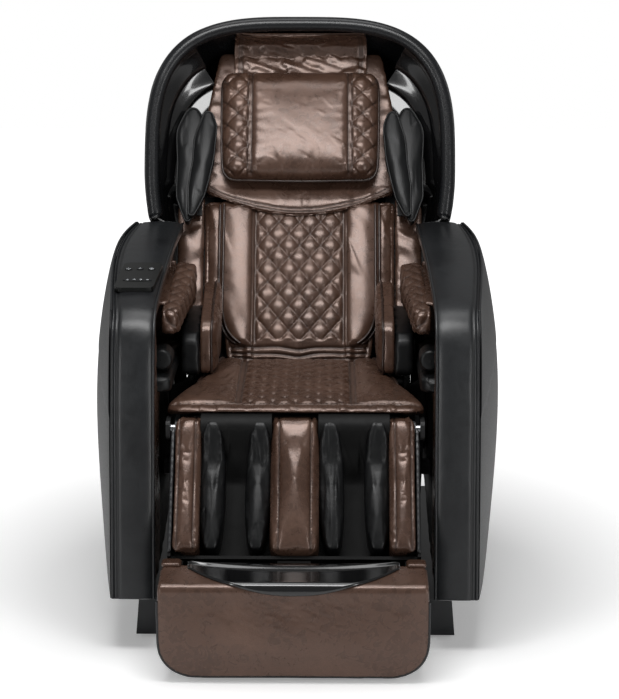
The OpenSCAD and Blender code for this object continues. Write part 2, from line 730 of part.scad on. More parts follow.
// ---- Drives -------------------------------------------------------------------------------
recline_reach = lever_r * tan(recline_half_deg);
lift_reach = leg_lever_r * tan(lift_half_deg);
module drive_actuators() {
    color("#55585d") at_hip() {
        difference() {
            rod_y(actuator_x, -240, -75, recline_z, 22);
            rod_y(actuator_x, -232, -74, recline_z, rod_r + run_gap);
        }
        difference() {
            rod_y(-actuator_x, -350, -130, lift_z, 17);
            rod_y(-actuator_x, -351, -190, lift_z, rod_r + run_gap);
        }
    }
}
module push_rod(x, from, to, z) {
    rod_y(x, min(from, to), max(from, to), z, rod_r);
    rod_x(x - rod_pin_r, x + rod_pin_r, to, z, 13);
    rod_x(x - 14, x + 14, to, z, rod_pin_r);
}
module recline_rod() {
    color("silver") at_hip() push_rod(actuator_x, -130, recline_reach, recline_z);
}
module leg_rod() {
    color("silver") at_hip() push_rod(-actuator_x, -200, -thigh_l + lift_reach, lift_z);
}
// A pair of slotted lever plates that hang from a pivot, turned back by a half stroke.
module slotted_lever(x, r, back_deg, root) {
    rotate([back_deg, 0, 0]) for (side = [-1, 1])
        translate([x + side * (rod_pin_r + 3) + (side < 0 ? -lever_t : 0), 0, 0])
            rotate([90, 0, 90]) linear_extrude(lever_t) difference() {
                hull() {
                    translate([0, -r - 12]) circle(r = 17, $fn = 24);
                    translate(root) circle(r = 14, $fn = 24);
                }
                hull() for (v = [r - 3, r / cos(back_deg) + 3]) translate([0, -v]) circle(r = slot_r, $fn = 24);
            }
}

// ---- Backrest -----------------------------------------------------------------------------
frame_front = -30;
frame_rear = 54;
frame_top = back_len - 75;
cover_top = 560;
rail_x = [206, 218];
rail_half = 8;
flange_t = 6;
flap_half = 192;
flap_wide_s = back_len - 175;
pad_seat = back_pad_t - back_face + soft_gap;
shoulder_back = -back_face - 5 - soft_gap;
shoulder_seat = shoulder_back + soft_gap;
module back_frame() {
    color("#5d6066") {
        back_space() difference() {
            union() {
                both_sides() {
                    slab_x(back_plate_x[0], back_plate_x[1], rounded([
                        [frame_front, -30, 22], [frame_front, frame_top, 10],
                        [frame_rear, frame_top, 10], [frame_rear, 60, 30], [30, -30, 22]]));
                    block([rail_x[0], -rail_half, 90], [rail_x[1], rail_half, frame_top - 30]);
                    // flanges behind the cushion's edges and brackets behind the shoulder pads
                    block([back_plate_x[0], pad_seat, 200], [back_plate_x[1], frame_front + 1, frame_top - 10]);
                    block([flap_half - 12, pad_seat, 200],
                          [back_plate_x[0] + 1, pad_seat + flange_t, frame_top - 10]);
                    block([back_pad_half + 3, shoulder_seat, 400],
                          [back_plate_x[1], shoulder_seat + flange_t, 620]);
                    block([back_plate_x[0], shoulder_seat, 400], [back_plate_x[1], pad_seat + 1, 620]);
                }
                rod_x(-back_plate_x[0], back_plate_x[0], 0, 0, 22);
                rod_x(-back_plate_x[0], back_plate_x[0], 50, frame_top - 12, 8);
                rod_x(-back_plate_x[0], back_plate_x[0], 50, 78, 8);
            }
            both_sides() {
                rod_x(back_plate_x[0] - 1, back_plate_x[1] + 1, 0, 0, hip_pin_r + run_gap);
                rod_x(back_plate_x[0] - 12, back_plate_x[0], 0, 0, hip_pin_r + 5);
            }
        }
        translate([0, hip_y, hip_z]) slotted_lever(actuator_x, lever_r, recline_half_deg, [0, -12]);
    }
}

module back_shell() {
    low = 45;
    function cover(half, front, rear, r) = rounded([
        [-half, front, 0], [half, front, 0], [half, rear, r], [-half, rear, r]]);
    color("#2b2d31") back_space() {
        translate([0, 0, low]) linear_extrude(cover_top - low) difference() {
            polygon(cover(back_half, frame_front, back_rear, 14));
            translate([0, -1]) polygon(
                cover(back_half - 2.4, frame_front - 1, back_rear - cover_t + 1, 11));
        }
        // plate that fills the opening in the hood's back
        fill_low = cover_top - 20;
        fill_gap = 0.8;
        ring = [for (u = hood_us) hood_point(u, 90, cover_t + 1)];
        translate([0, hood_rear - 1, 0]) rotate([90, 0, 0])
            linear_extrude(hood_rear - 1 - back_rear + cover_t)
                polygon(concat([[ring[0].x + 1, fill_low], [-ring[0].x - 1, fill_low]],
                    [for (k = [len(ring) - 1 : -1 : 0]) if (ring[k].z > fill_low + 5)
                        [ring[k].x - sign(ring[k].x) * fill_gap, ring[k].z - fill_gap]]));
    }
}

module hood_shell() {
    color("#2b2d31") back_space() plate(hood_grid(0, 90, 9), hood_grid(cover_t + 1, 90, 9));
}

// Padded rim in front of the hood's edge; its round back sinks into the hood's mouth.
rim_seat = 0.7 * rim_t / 2 + soft_gap;
function rim_ring(u) =
    let (outer = hood_point(u, 0, 0), inner = hood_point(u, 0, rim_t),
         across = unit([outer.x - inner.x, outer.z - inner.z]), half = rim_t / 2,
         mid = [outer.x - across.x * half, outer.z - across.y * half])
    [for (k = [0 : 11]) let (c = [half * cos(30 * k), half * sin(30 * k)])
        [mid.x + across.x * c.x, outer.y - rim_seat + c.y * 0.9, mid.y + across.y * c.x]];
module hood_rim() {
    color("#26282c") back_space() loft([for (u = hood_us) rim_ring(u)]);
}

// Gloss ribs inside the hood, from the lower end up to the crown's corner.
// Their last column turns out to the hood's inner face, which carries them.
trim_us = [for (k = [0 : 14]) lerp(1.95, 0.42, k / 14)];
trim_seat = cover_t + 1 + 2 * soft_gap;
function trim_grid(inset) = [for (u = trim_us) [for (j = [0 : 6])
    let (p = hood_point(u, 1 + 4.4 * j + (j == 6 ? 4 : 0), (j == 6 ? trim_seat : rim_t - 8) + inset),
         in = j == 6 ? 0 : j)
    [p.x - 4 * in, p.y, p.z - 1.5 * in]]];
module hood_trim() {
    back_space() plate(trim_grid(0), trim_grid(7));
}
module hood_trim_left() {
    color("#0d0e10") left_side() hood_trim();
}
module hood_trim_right() {
    color("#0d0e10") hood_trim();
}

pad_low = 76;
pad_top = 432;
module back_pad() {
    color("#5a4037") back_space() translate([0, back_pad_t - back_face, 0]) rotate([90, 0, 0])
        linear_extrude(back_pad_t) polygon(rounded([
            [-120, pad_low, 30], [120, pad_low, 30], [back_pad_half, 190, 60], [back_pad_half, pad_top, 10],
            [-back_pad_half, pad_top, 10], [-back_pad_half, 190, 60]]));
}

module back_flap() {
    chest_half = 180;
    lap = 40;
    color("#5a4037") back_space() {
        translate([0, back_pad_t - back_face, 0]) rotate([90, 0, 0]) linear_extrude(back_pad_t + 3)
            polygon(rounded([
                [-chest_half, pad_top + soft_gap, 6], [chest_half, pad_top + soft_gap, 6],
                [flap_half, flap_wide_s, 60], [flap_half - 42, back_len, 50],
                [42 - flap_half, back_len, 50], [-flap_half, flap_wide_s, 60]]));
        translate([0, -back_face - soft_gap, 0]) rotate([90, 0, 0]) linear_extrude(7)
            polygon(rounded([
                [0, pad_top - lap - 8, 200], [chest_half, pad_top - lap + 24, 10],
                [chest_half, pad_top + 30, 4], [-chest_half, pad_top + 30, 4],
                [-chest_half, pad_top - lap + 24, 10]]));
    }
}

pillow_top = back_len - 59;
pillow_back = -back_face - 3 - soft_gap;
module pillow() {
    soft_r = 16;
    color("#5a4037") back_space() intersection() {
        translate([0, pillow_back, 0]) rotate([90, 0, 0]) linear_extrude(pillow_t) polygon(
            box_outline(-pillow_half, pillow_top - pillow_l, pillow_half, pillow_top, 24));
        slab_x(-pillow_half - 1, pillow_half + 1, box_outline(
            pillow_back - pillow_t, pillow_top - pillow_l - 1, pillow_back, pillow_top + 1, soft_r));
    }
}

module shoulder_pad() {
    back_space() translate([0, shoulder_back, 0]) rotate([90, 0, 0]) linear_extrude(50)
        polygon(rounded([
            [191, 372, 8], [226, 368, 8], [250, 430, 30], [252, 600, 30], [234, 642, 12],
            [198, 642, 12]]));
}
module shoulder_pad_left() {
    color("#26282c") left_side() shoulder_pad();
}
module shoulder_pad_right() {
    color("#26282c") shoulder_pad();
}

// ---- Massage head -------------------------------------------------------------------------
head_low = 100;
head_l = 90;
knead_at = [4, head_low + 45];
roller_out = [-19, 44];
roller_r = 15;
roller_axle_r = 5;
module massage_carriage() {
    inner = rail_x[0] - soft_gap;
    color("#44474d") back_space() difference() {
        union() {
            block([-inner, 22, head_low], [inner, 30, head_low + head_l]);
            both_sides() {
                block([inner - 8, -14, head_low], [inner, 30, head_low + head_l]);
                block([inner - 1, rail_half + soft_gap, head_low], [rail_x[1] - 3, 14, head_low + head_l]);
                block([inner - 1, -14, head_low], [rail_x[1] - 3, -rail_half - soft_gap, head_low + head_l]);
                block([72, knead_at.x - 13, knead_at.y - 16], [86, 24, knead_at.y + 16]);
            }
            block([-60, 29, head_low + 8], [60, 46, head_low + head_l - 8]);
        }
        rod_x(-90, 90, knead_at.x, knead_at.y, 8 + run_gap);
    }
}
module knead_yoke() {
    color("silver") back_space() difference() {
        union() {
            rod_x(-84, 84, knead_at.x, knead_at.y, 8);
            both_sides() slab_x(52, 62, rounded([
                [knead_at.x + 14, knead_at.y, 12],
                [knead_at.x + roller_out.x + 10, knead_at.y + roller_out.y + 10, 9],
                [knead_at.x + roller_out.x - 10, knead_at.y + roller_out.y + 10, 9],
                [knead_at.x - 10, knead_at.y, 12],
                [knead_at.x + roller_out.x - 10, knead_at.y - roller_out.y - 10, 9],
                [knead_at.x + roller_out.x + 10, knead_at.y - roller_out.y - 10, 9]]));
        }
        for (s = [-1, 1]) rod_x(-70, 70, knead_at.x + roller_out.x,
            knead_at.y + s * roller_out.y, roller_axle_r + run_gap);
    }
}
module roller_pair(s) {
    color("#c9b48f") back_space() {
        rod_x(-64, 64, knead_at.x + roller_out.x, knead_at.y + s * roller_out.y, roller_axle_r);
        both_sides() rod_x(26, 50, knead_at.x + roller_out.x, knead_at.y + s * roller_out.y, roller_r);
    }
}
module upper_rollers() {
    roller_pair(1);
}
module lower_rollers() {
    roller_pair(-1);
}

// ---- Leg rest -----------------------------------------------------------------------------
calf_front = -23;
calf_back = calf_front + calf_depth;
tray_t = 6;
guide_at = [213, 78];
guide_r = 11;
foot_rod_r = 8;
guide_top = -66;
guide_low = -240;
bar_along = -75;
module leg_frame() {
    color("#5d6066") difference() {
        union() {
            leg_space() {
                both_sides() {
                    slab_x(lug_x[0], lug_x[1], rounded([
                        [-14, -14, 12], [-14, 14, 12], [14, 14, 12], [guide_at.y + 8, -40, 10],
                        [guide_at.y + 8, -90, 8], [calf_back + tray_t + 1, -90, 8]]));
                    rod_z(guide_at.x, guide_at.y, guide_low, guide_top, guide_r);
                }
                for (z = [bar_along, guide_low + 8])
                    block([-guide_at.x, guide_at.y - 9, z - 8], [guide_at.x, guide_at.y + 9, z + 8]);
            }
            translate([0, knee_y, knee_z]) slotted_lever(-actuator_x, leg_lever_r, lift_half_deg,
                [-34, -96]);
        }
        leg_space() both_sides() {
            rod_x(lug_x[0] - 1, lug_x[1] + 1, 0, 0, small_pin_r + run_gap);
            rod_z(guide_at.x, guide_at.y, guide_low - 1, guide_top + 1, foot_rod_r + run_gap);
        }
    }
}

module calf_shell() {
    top = -34;
    lug_room = 0.5;
    lever_room = rod_pin_r + 3 + lever_t + 1;
    color("#2b2d31") leg_space() {
        difference() {
            block([-calf_half, calf_back, -calf_l], [calf_half, calf_back + tray_t, top]);
            both_sides() block([lug_x[0] - lug_room, calf_back - 1, -92],
                               [lug_x[1] + lug_room, calf_back + tray_t + 1, top + 1]);
            // notch round the lever and its rod
            block([-actuator_x - lever_room, calf_back - 1, -84],
                  [-actuator_x + lever_room, calf_back + tray_t + 1, top + 1]);
        }
        block([-calf_half, 0, -calf_l], [calf_half, calf_back + 1, -calf_l + tray_t]);
        both_sides() block([calf_half - tray_t, calf_front + 8, -calf_l],
                           [calf_half, calf_back + 1, top]);
    }
}

calf_side_x = [175, 209.5];
module calf_cushion() {
    low = -calf_l + tray_t + soft_gap;
    top_round = rounded([
        [calf_front, low, 8], [calf_front, 10, 12], [16, 8, 8], [calf_back - soft_gap, -34, 6],
        [calf_back - soft_gap, low, 0]]);
    color("#5a4037") leg_space() {
        slab_x(-calf_mid_half, calf_mid_half, top_round);
        both_sides() {
            slab_x(calf_side_x[0], calf_side_x[1], top_round);
            slab_x(calf_side_x[1] - 1, calf_half, box_outline(
                calf_front, -calf_l + 2, calf_front + 7, 8, 3));
        }
    }
}

module calf_airbags() {
    outline = rounded([
        [4, -calf_l + tray_t + 4, 8], [4, -14, 12], [20, -14, 8], [calf_back - soft_gap, -40, 6],
        [calf_back - soft_gap, -calf_l + tray_t + 4, 0]]);
    color("#26282c") leg_space() both_sides() {
        slab_x(calf_mid_half + soft_gap, calf_mid_half + 30, outline);
        slab_x(calf_side_x[0] - 30, calf_side_x[0] - soft_gap, outline);
    }
}

// ---- Foot unit ----------------------------------------------------------------------------
foot_front = -thigh_l - foot_reach;
shell_front = foot_front + foot_panel_t + soft_gap;
shell_low_z = foot_low_z + 3;
shell_half = foot_half - 6;
shell_rear = foot_front + 235;
well_x = [30, 200];
wall_t = 6;
calf_clear = -calf_l - 7;
cap_back = foot_front + 85;
cap_rise = 16;
function foot_outline() = let (a = leg_point(-10, calf_clear), b = leg_point(94, calf_clear)) [
    [shell_front, shell_low_z], [shell_front, foot_top_z + 4], [cap_back, foot_top_z + 4 + cap_rise],
    [a.x - hip_y, a.y], [b.x - hip_y, b.y], [shell_rear, b.y - 24], [shell_rear, shell_low_z]];
roller_at = [foot_front + 80, shell_low_z + 27];
foot_roller_r = 14;
foot_axle_r = 6;
module foot_shell() {
    color("#2b2d31") difference() {
        at_hip() difference() {
            intersection() {
                slab_x(-shell_half, shell_half, foot_outline());
                translate([0, shell_rear + 1, 0]) rotate([90, 0, 0])
                    linear_extrude(shell_rear - shell_front + 2) polygon(rounded([
                        [-shell_half, shell_low_z, 48], [shell_half, shell_low_z, 48],
                        [shell_half, 260, 10], [-shell_half, 260, 10]]));
            }
            both_sides() block([well_x[0], shell_front + wall_t, shell_low_z + 8],
                               [well_x[1], shell_rear - wall_t, 300]);
            rod_x(-well_x[1] - 10, well_x[1] + 10, roller_at.x, roller_at.y, foot_axle_r + run_gap);
        }
        leg_space() both_sides()
            rod_z(guide_at.x, guide_at.y, -calf_l - 55, -calf_l, foot_rod_r + press_gap);
    }
}

module foot_rods() {
    color("silver") leg_space() both_sides()
        rod_z(guide_at.x, guide_at.y, -calf_l - 54.7, guide_top - 4, foot_rod_r);
}

module foot_panel() {
    color("#5a4037") at_hip() intersection() {
        translate([0, foot_front + foot_panel_t, 0]) rotate([90, 0, 0]) linear_extrude(foot_panel_t)
            polygon(rounded([
                [-foot_half, foot_low_z, 55], [foot_half, foot_low_z, 55],
                [foot_half, foot_top_z, 20], [-foot_half, foot_top_z, 20]], 6));
        slab_x(-foot_half - 1, foot_half + 1, rounded([
            [foot_front + foot_panel_t, foot_low_z - 1, 0], [foot_front, foot_low_z - 1, 10],
            [foot_front, foot_top_z + 1, 10], [foot_front + foot_panel_t, foot_top_z + 1, 0]]));
    }
}

module foot_trim() {
    trim_half = 196;
    low = foot_top_z + 4 + soft_gap;
    color("#0d0e10") at_hip() slab_x(-trim_half, trim_half, rounded([
        [shell_front + 1, low, 0], [shell_front + 1, low + 7, 3], [cap_back - 26, low + cap_rise + 3, 6],
        [cap_back - 4, low + cap_rise + 5, 3], [cap_back, low + cap_rise, 0]]));
}

module foot_airbags() {
    // wedges that fill the well's side under the calf rest
    b = leg_point(60, calf_clear - 4);
    outline = [[foot_front + 92, 60], [foot_front + 92, foot_top_z + 2], [foot_front + 112, foot_top_z + 4],
               [b.x - hip_y, b.y], [b.x - hip_y, 60]];
    color("#3b3e43") at_hip() both_sides() {
        slab_x(well_x[0] + soft_gap, well_x[0] + 20, outline);
        slab_x(well_x[1] - 20, well_x[1] - soft_gap, outline);
    }
}

module foot_roller() {
    color("#8d9096") at_hip() {
        rod_x(-well_x[1] - 8, well_x[1] + 8, roller_at.x, roller_at.y, foot_axle_r);
        both_sides() for (x = [60, 92, 124, 156])
            rod_x(x - 9, x + 9, roller_at.x, roller_at.y, foot_roller_r);
    }
}

module foot_feet() {
    color("#1c1c1c") at_hip() both_sides()
        rod_z(105, shell_front + 22, 3, shell_low_z, 9);
}

base_frame();
base_skirt_left();
base_skirt_right();
floor_glides();
power_box();
power_inlet();
power_switch();
air_pump();
transport_wheel_left();
transport_wheel_right();
glide_actuator();
glide_rod();
glide_carriage();
tilt_jack();
tilt_rod();
seat_frame();
pivot_pins();
seat_cushion();
hip_bolster_left();
hip_bolster_right();
arm_shell_left();
arm_shell_right();
arm_band_left();
arm_band_right();
arm_pad_left();
arm_pad_right();
control_panel();
key_left();
key_middle();
key_right();
key_arc();
drive_actuators();
recline_rod();
leg_rod();
back_frame();
back_shell();
hood_shell();
hood_rim();
hood_trim_left();
hood_trim_right();
back_pad();
back_flap();
pillow();
shoulder_pad_left();
shoulder_pad_right();
massage_carriage();
knead_yoke();
upper_rollers();
lower_rollers();
leg_frame();
calf_shell();
calf_cushion();
calf_airbags();
foot_shell();
foot_rods();
foot_panel();
foot_trim();
foot_airbags();
foot_roller();
foot_feet();
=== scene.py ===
"""Looks for the massage chair: upholstery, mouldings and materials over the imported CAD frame.

Units are metres in the frame of the CAD model: X across, Y backwards, Z up, floor at Z = 0.
Every sub-assembly is a class with its own sizes. Places come from the frame's joints and boxes.
"""
import json
import logging
import math
from dataclasses import dataclass
from enum import Enum
from typing import Any, Callable, Optional, Sequence

import bpy
import numpy as np
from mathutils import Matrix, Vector
from mathutils.bvhtree import BVHTree


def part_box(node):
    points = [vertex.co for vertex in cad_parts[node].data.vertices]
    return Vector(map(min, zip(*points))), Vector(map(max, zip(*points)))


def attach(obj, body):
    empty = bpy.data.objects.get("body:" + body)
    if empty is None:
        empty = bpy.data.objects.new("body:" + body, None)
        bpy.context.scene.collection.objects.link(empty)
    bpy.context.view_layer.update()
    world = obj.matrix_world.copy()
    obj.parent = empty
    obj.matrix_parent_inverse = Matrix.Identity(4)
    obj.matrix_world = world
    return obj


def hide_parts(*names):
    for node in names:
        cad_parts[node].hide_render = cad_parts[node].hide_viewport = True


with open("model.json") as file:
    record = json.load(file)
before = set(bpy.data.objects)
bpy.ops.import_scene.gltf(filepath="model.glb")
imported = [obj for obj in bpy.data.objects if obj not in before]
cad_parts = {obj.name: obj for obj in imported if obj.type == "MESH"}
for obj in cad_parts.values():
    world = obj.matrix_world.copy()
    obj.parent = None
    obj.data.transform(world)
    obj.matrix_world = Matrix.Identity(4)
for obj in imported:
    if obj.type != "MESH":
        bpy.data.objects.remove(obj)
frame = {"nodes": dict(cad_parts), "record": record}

LOG = logging.getLogger("chair")
Array = np.ndarray
Obj, Mat, Socket = bpy.types.Object, bpy.types.Material, bpy.types.NodeSocket
Pair = tuple[Array, Array]
Relief = Callable[[Array, Array, Array], Pair]
SIDES = ((-1, "left"), (1, "right"))


# ---- Numbers and curves ----


def unit(v: Array) -> Array:
    """Vectors scaled to length one, zero vectors left alone."""
    n = np.linalg.norm(v, axis=-1, keepdims=True)
    return v / np.where(n < 1e-12, 1.0, n)


def smooth(x: Array, low: float, high: float) -> Array:
    """Ramp from 0 at low to 1 at high with level ends: 3t^2 - 2t^3."""
    t = np.clip((x - low) / (high - low), 0.0, 1.0)
    return t * t * (3.0 - 2.0 * t)


def ridge(distance: Array, width: float) -> Array:
    """Bell of height 1 at distance 0 that has fallen to 0.37 at one width."""
    return np.exp(-(distance / width) ** 2)


def resample(points: Array, count: int, closed: bool = False) -> Array:
    """Points spaced evenly by arc length along a polyline.

    Args:
        points: polyline of shape (n, k).
        count: number of points wanted.
        closed: whether the last point joins the first.
    Returns:
        Array of shape (count, k).
    """
    p = np.vstack([points, points[:1]]) if closed else points
    s = np.concatenate([[0.0], np.cumsum(np.linalg.norm(np.diff(p, axis=0), axis=1))])
    t = np.linspace(0.0, s[-1], count + 1)[:-1] if closed else np.linspace(0.0, s[-1], count)
    return np.stack([np.interp(t, s, p[:, k]) for k in range(p.shape[1])], axis=1)


def corner_path(corners: Sequence[Sequence[float]], closed: bool = True, steps: int = 10) -> Array:
    """Polyline through (x, y, radius) corners, each one rounded by an arc tangent to both sides."""
    out: list[Array] = []
    n = len(corners)
    for i, (x, y, r) in enumerate(corners):
        p = np.array([x, y])
        if r == 0 or (not closed and i in (0, n - 1)):
            out.append(p[None])
            continue
        u = unit(np.array(corners[i - 1][:2]) - p)
        v = unit(np.array(corners[(i + 1) % n][:2]) - p)
        half = math.acos(float(np.clip(u @ v, -1, 1))) / 2
        centre = p + unit(u + v) * r / math.sin(half)
        start = p + u * r / math.tan(half) - centre
        end = p + v * r / math.tan(half) - centre
        turn = math.copysign(math.pi - 2 * half, float(start[0] * end[1] - start[1] * end[0]))
        a = np.linspace(0.0, turn, steps)[:, None]
        out.append(centre + start * np.cos(a) + np.array([-start[1], start[0]]) * np.sin(a))
    return np.vstack(out)


def waves(x: Array, y: Array, seed: int, size: float, count: int = 7,
        stretch: float = 1.0) -> Array:
    """Soft seeded folds in -1..1: a sum of sine waves with random headings, bent by each other.

    Args:
        x: first coordinate in metres.
        y: second coordinate in metres.
        seed: seed of the random headings.
        size: typical fold spacing in metres.
        count: number of waves.
        stretch: how much longer the folds are along y than along x.
    """
    rng = np.random.default_rng(seed)
    total = np.zeros_like(x)
    bend = np.zeros_like(x)
    for k in range(count):
        a = rng.uniform(0, 2 * math.pi)
        f = 2 * math.pi / (size * rng.uniform(0.6, 1.7))
        wave = np.sin(f * (x * math.cos(a) + y * math.sin(a) / stretch) + rng.uniform(0, 6.28)
            + bend)
        bend = bend + 0.9 * wave
        total = total + wave
    return total / count * 1.6


@dataclass(frozen=True)
class Space:
    """Flat frame of a part: u and v lie in its face and d points out of it."""

    origin: Array
    u: Array
    v: Array
    d: Array

    def world(self, p: Array) -> Array:
        """Local (u, v, d) points in the row frame."""
        p = np.asarray(p, float)
        return self.origin + p[..., :1] * self.u + p[..., 1:2] * self.v + p[..., 2:3] * self.d

    def local(self, p: Array) -> Array:
        """Row-frame points as (u, v, d)."""
        q = p - self.origin
        return np.stack([q @ self.u, q @ self.v, q @ self.d], axis=-1)


def joint(name: str) -> dict:
    """The record's joint of that name."""
    return next(j for j in frame["record"]["behaviour"]["joints"] if j["name"] == name)


def tag_of(side: float) -> str:
    """Name ending of a side: -1 is the viewer's left."""
    return "right" if side > 0 else "left"


def vec(x: float, y: float, z: float) -> Array:
    """Three numbers as an array."""
    return np.array([x, y, z], float)


HIP = joint("back_recline")["pos_m"]
KNEE = joint("leg_lift")["pos_m"]
UP_BACK = vec(*joint("head_travel")["axis"])
DOWN_LEG = vec(*joint("foot_extend")["axis"])
BACK = Space(vec(0, HIP[1], HIP[2]), vec(1, 0, 0), UP_BACK, vec(0, -UP_BACK[2], UP_BACK[1]))
LEG = Space(vec(0, KNEE[1], KNEE[2]), vec(1, 0, 0), DOWN_LEG, vec(0, DOWN_LEG[2], -DOWN_LEG[1]))
PLAN = Space(vec(0, HIP[1], 0), vec(1, 0, 0), vec(0, 1, 0), vec(0, 0, 1))
FRONT = Space(vec(0, HIP[1], 0), vec(1, 0, 0), vec(0, 0, 1), vec(0, -1, 0))


def flank(side: float) -> Space:
    """Space whose face looks at the chair's middle from one side: u backwards, v up."""
    return Space(vec(0, HIP[1], 0), vec(0, 1, 0), vec(0, 0, 1), vec(-side, 0, 0))


# ---- Meshes ----


def mesh_object(name: str, verts: Array, faces: Sequence[Array]) -> Obj:
    """Object from vertex rows and face arrays of one corner count each, turned to face outwards.

    Args:
        name: object name.
        verts: (n, 3) positions in the row frame.
        faces: arrays of shape (k, corners).
    Returns:
        The new object, linked to the scene at the origin.
    """
    tri = np.vstack([np.stack([f[:, 0], f[:, k], f[:, k + 1]], 1)
        for f in faces for k in range(1, f.shape[1] - 1)])
    a, b, c = (verts[tri[:, k]] - verts.mean(0) for k in range(3))
    if np.einsum("ij,ij->i", a, np.cross(b, c)).sum() < 0:
        faces = [f[:, ::-1] for f in faces]
    me = bpy.data.meshes.new(name)
    me.vertices.add(len(verts))
    me.vertices.foreach_set("co", np.ascontiguousarray(verts, np.float32).ravel())
    loops = np.concatenate([f.ravel() for f in faces]).astype(np.int32)
    sizes = np.concatenate([np.full(len(f), f.shape[1]) for f in faces])
    me.loops.add(len(loops))
    me.loops.foreach_set("vertex_index", loops)
    me.polygons.add(len(sizes))
    me.polygons.foreach_set("loop_start", np.concatenate([[0],
        np.cumsum(sizes)[:-1]]).astype(np.int32))
    me.update(calc_edges=True)
    me.validate()
    me.shade_smooth()
    obj = bpy.data.objects.new(name, me)
    bpy.context.scene.collection.objects.link(obj)
    return obj


def ring_faces(rows: int, cols: int, closed_rows: bool = False) -> Array:
    """Quads over closed rings: point (i, j) has index i * cols + j, and j wraps round."""
    i = np.arange(rows if closed_rows else rows - 1)[:, None]
    j = np.arange(cols)[None, :]
    ni, nj = (i + 1) % rows, (j + 1) % cols
    return np.stack([i * cols + j, ni * cols + j, ni * cols + nj, i * cols + nj], -1).reshape(-1, 4)


def loft(name: str, rings: Array, closed_rows: bool = False) -> Obj:
    """Closed solid through rings (rows, cols, 3), with an n-gon on each open end."""
    rows, cols = rings.shape[:2]
    faces = [ring_faces(rows, cols, closed_rows)]
    if not closed_rows:
        faces += [np.arange(cols)[None, ::-1], (rows - 1) * cols + np.arange(cols)[None]]
    return mesh_object(name, rings.reshape(-1, 3), faces)


def bundle(name: str, parts: Sequence[tuple[Array, bool]]) -> Obj:
    """One object from several lofts of equal ring size, each (rings, closed on itself)."""
    verts, quads, caps, base = [], [], [], 0
    for rings, closed in parts:
        rows, cols = rings.shape[:2]
        verts.append(rings.reshape(-1, 3))
        quads.append(ring_faces(rows, cols, closed) + base)
        if not closed:
            caps += [base + np.arange(cols)[::-1], base + (rows - 1) * cols + np.arange(cols)]
        base += rows * cols
    return mesh_object(name, np.vstack(verts),
        [np.vstack(quads)] + ([np.array(caps)] if caps else []))


def slab(name: str, front: Array, back: Array) -> Obj:
    """Closed solid between two grids: each row's front and returning back make a ring."""
    return loft(name, np.concatenate([front, back[:, ::-1]], axis=1))


def sweep(path: Array, up: Array, profile: Array, closed: bool = False) -> Array:
    """Rings of a flat profile carried along a path.

    Each ring is path + side * profile_x + rise * profile_y, where side is tangent x up and rise
    is side x tangent.

    Args:
        path: (n, 3) points.
        up: (n, 3) or (3,) rough normals.
        profile: (m, 2) or (n, m, 2) cross-section.
        closed: whether the path closes on itself.
    """
    tangent = unit(np.roll(path, -1, 0) - np.roll(path, 1, 0)) if closed else unit(np.gradient(path,
        axis=0))
    side = unit(np.cross(tangent, np.broadcast_to(up, path.shape)))
    rise = np.cross(side, tangent)
    prof = np.broadcast_to(profile, (len(path),) + profile.shape[-2:])
    return path[:, None] + side[:, None] * prof[..., :1] + rise[:, None] * prof[..., 1:]


def circle(r: float, sides: int = 10, rx: Optional[float] = None) -> Array:
    """Round or oval profile of radius r, or rx across."""
    a = np.linspace(0, 2 * math.pi, sides, endpoint=False)
    return np.stack([(rx or r) * np.cos(a), r * np.sin(a)], 1)


def tube(name: str, path: Array, up: Array, r: float, closed: bool = False) -> Obj:
    """Round piping along a path."""
    return loft(name, sweep(path, up, circle(r, 8), closed), closed)


def stitches(name: str, path: Array, up: Array, pitch: float = 0.0062, length: float = 0.0042,
        r: float = 0.0006) -> Obj:
    """Row of thread stitches: one small capsule per pitch, laid along the path.

    Args:
        name: object name.
        path: (n, 3) points on the leather.
        up: normals at the points.
        pitch: distance from stitch to stitch.
        length: length of one stitch.
        r: thread radius.
    """
    total = np.linalg.norm(np.diff(path, axis=0), axis=1).sum()
    count = max(2, int(total / pitch))
    both = resample(np.hstack([path, np.broadcast_to(up, path.shape)]), count)
    at, rise = both[:, :3], unit(both[:, 3:])
    ahead = unit(np.gradient(at, axis=0))
    side = unit(np.cross(ahead, rise))
    t = np.array([-1.0, -0.7, 0.0, 0.7, 1.0])
    girth = np.array([0.35, 0.9, 1.0, 0.9, 0.35])
    prof = circle(1.0, 6)
    ring = (at[:, None, None] + ahead[:, None, None] * (t * length / 2)[None, :, None, None]
            + (side[:, None, None] * prof[None, None, :, :1] + rise[:, None, None]
            * prof[None, None, :, 1:]) * (girth * r)[None, :, None, None])
    one = ring_faces(5, 6)
    ends = np.stack([np.arange(6)[::-1], 24 + np.arange(6)])
    shift = (np.arange(count) * 30)[:, None, None]
    return mesh_object(name, ring.reshape(-1, 3), [(one[None] + shift).reshape(-1, 4),
        (ends[None] + shift).reshape(-1, 6)])


def applied(obj: Obj) -> None:
    """Replaces the object's mesh by its evaluated one and clears the modifiers."""
    me = bpy.data.meshes.new_from_object(obj.evaluated_get(bpy.context.evaluated_depsgraph_get()))
    old = obj.data
    obj.modifiers.clear()
    obj.data = me
    me.name = obj.name
    bpy.data.meshes.remove(old)


def coordinates(obj: Obj, what: str = "co") -> Array:
    """Vertex positions or normals of an object's mesh as (n, 3)."""
    flat = np.empty(len(obj.data.vertices) * 3, np.float32)
    obj.data.vertices.foreach_get(what, flat)
    return flat.reshape(-1, 3).astype(float)


def set_coordinates(obj: Obj, co: Array) -> None:
    """Writes vertex positions back to the mesh."""
    obj.data.vertices.foreach_set("co", np.ascontiguousarray(co, np.float32).ravel())
    obj.data.update()


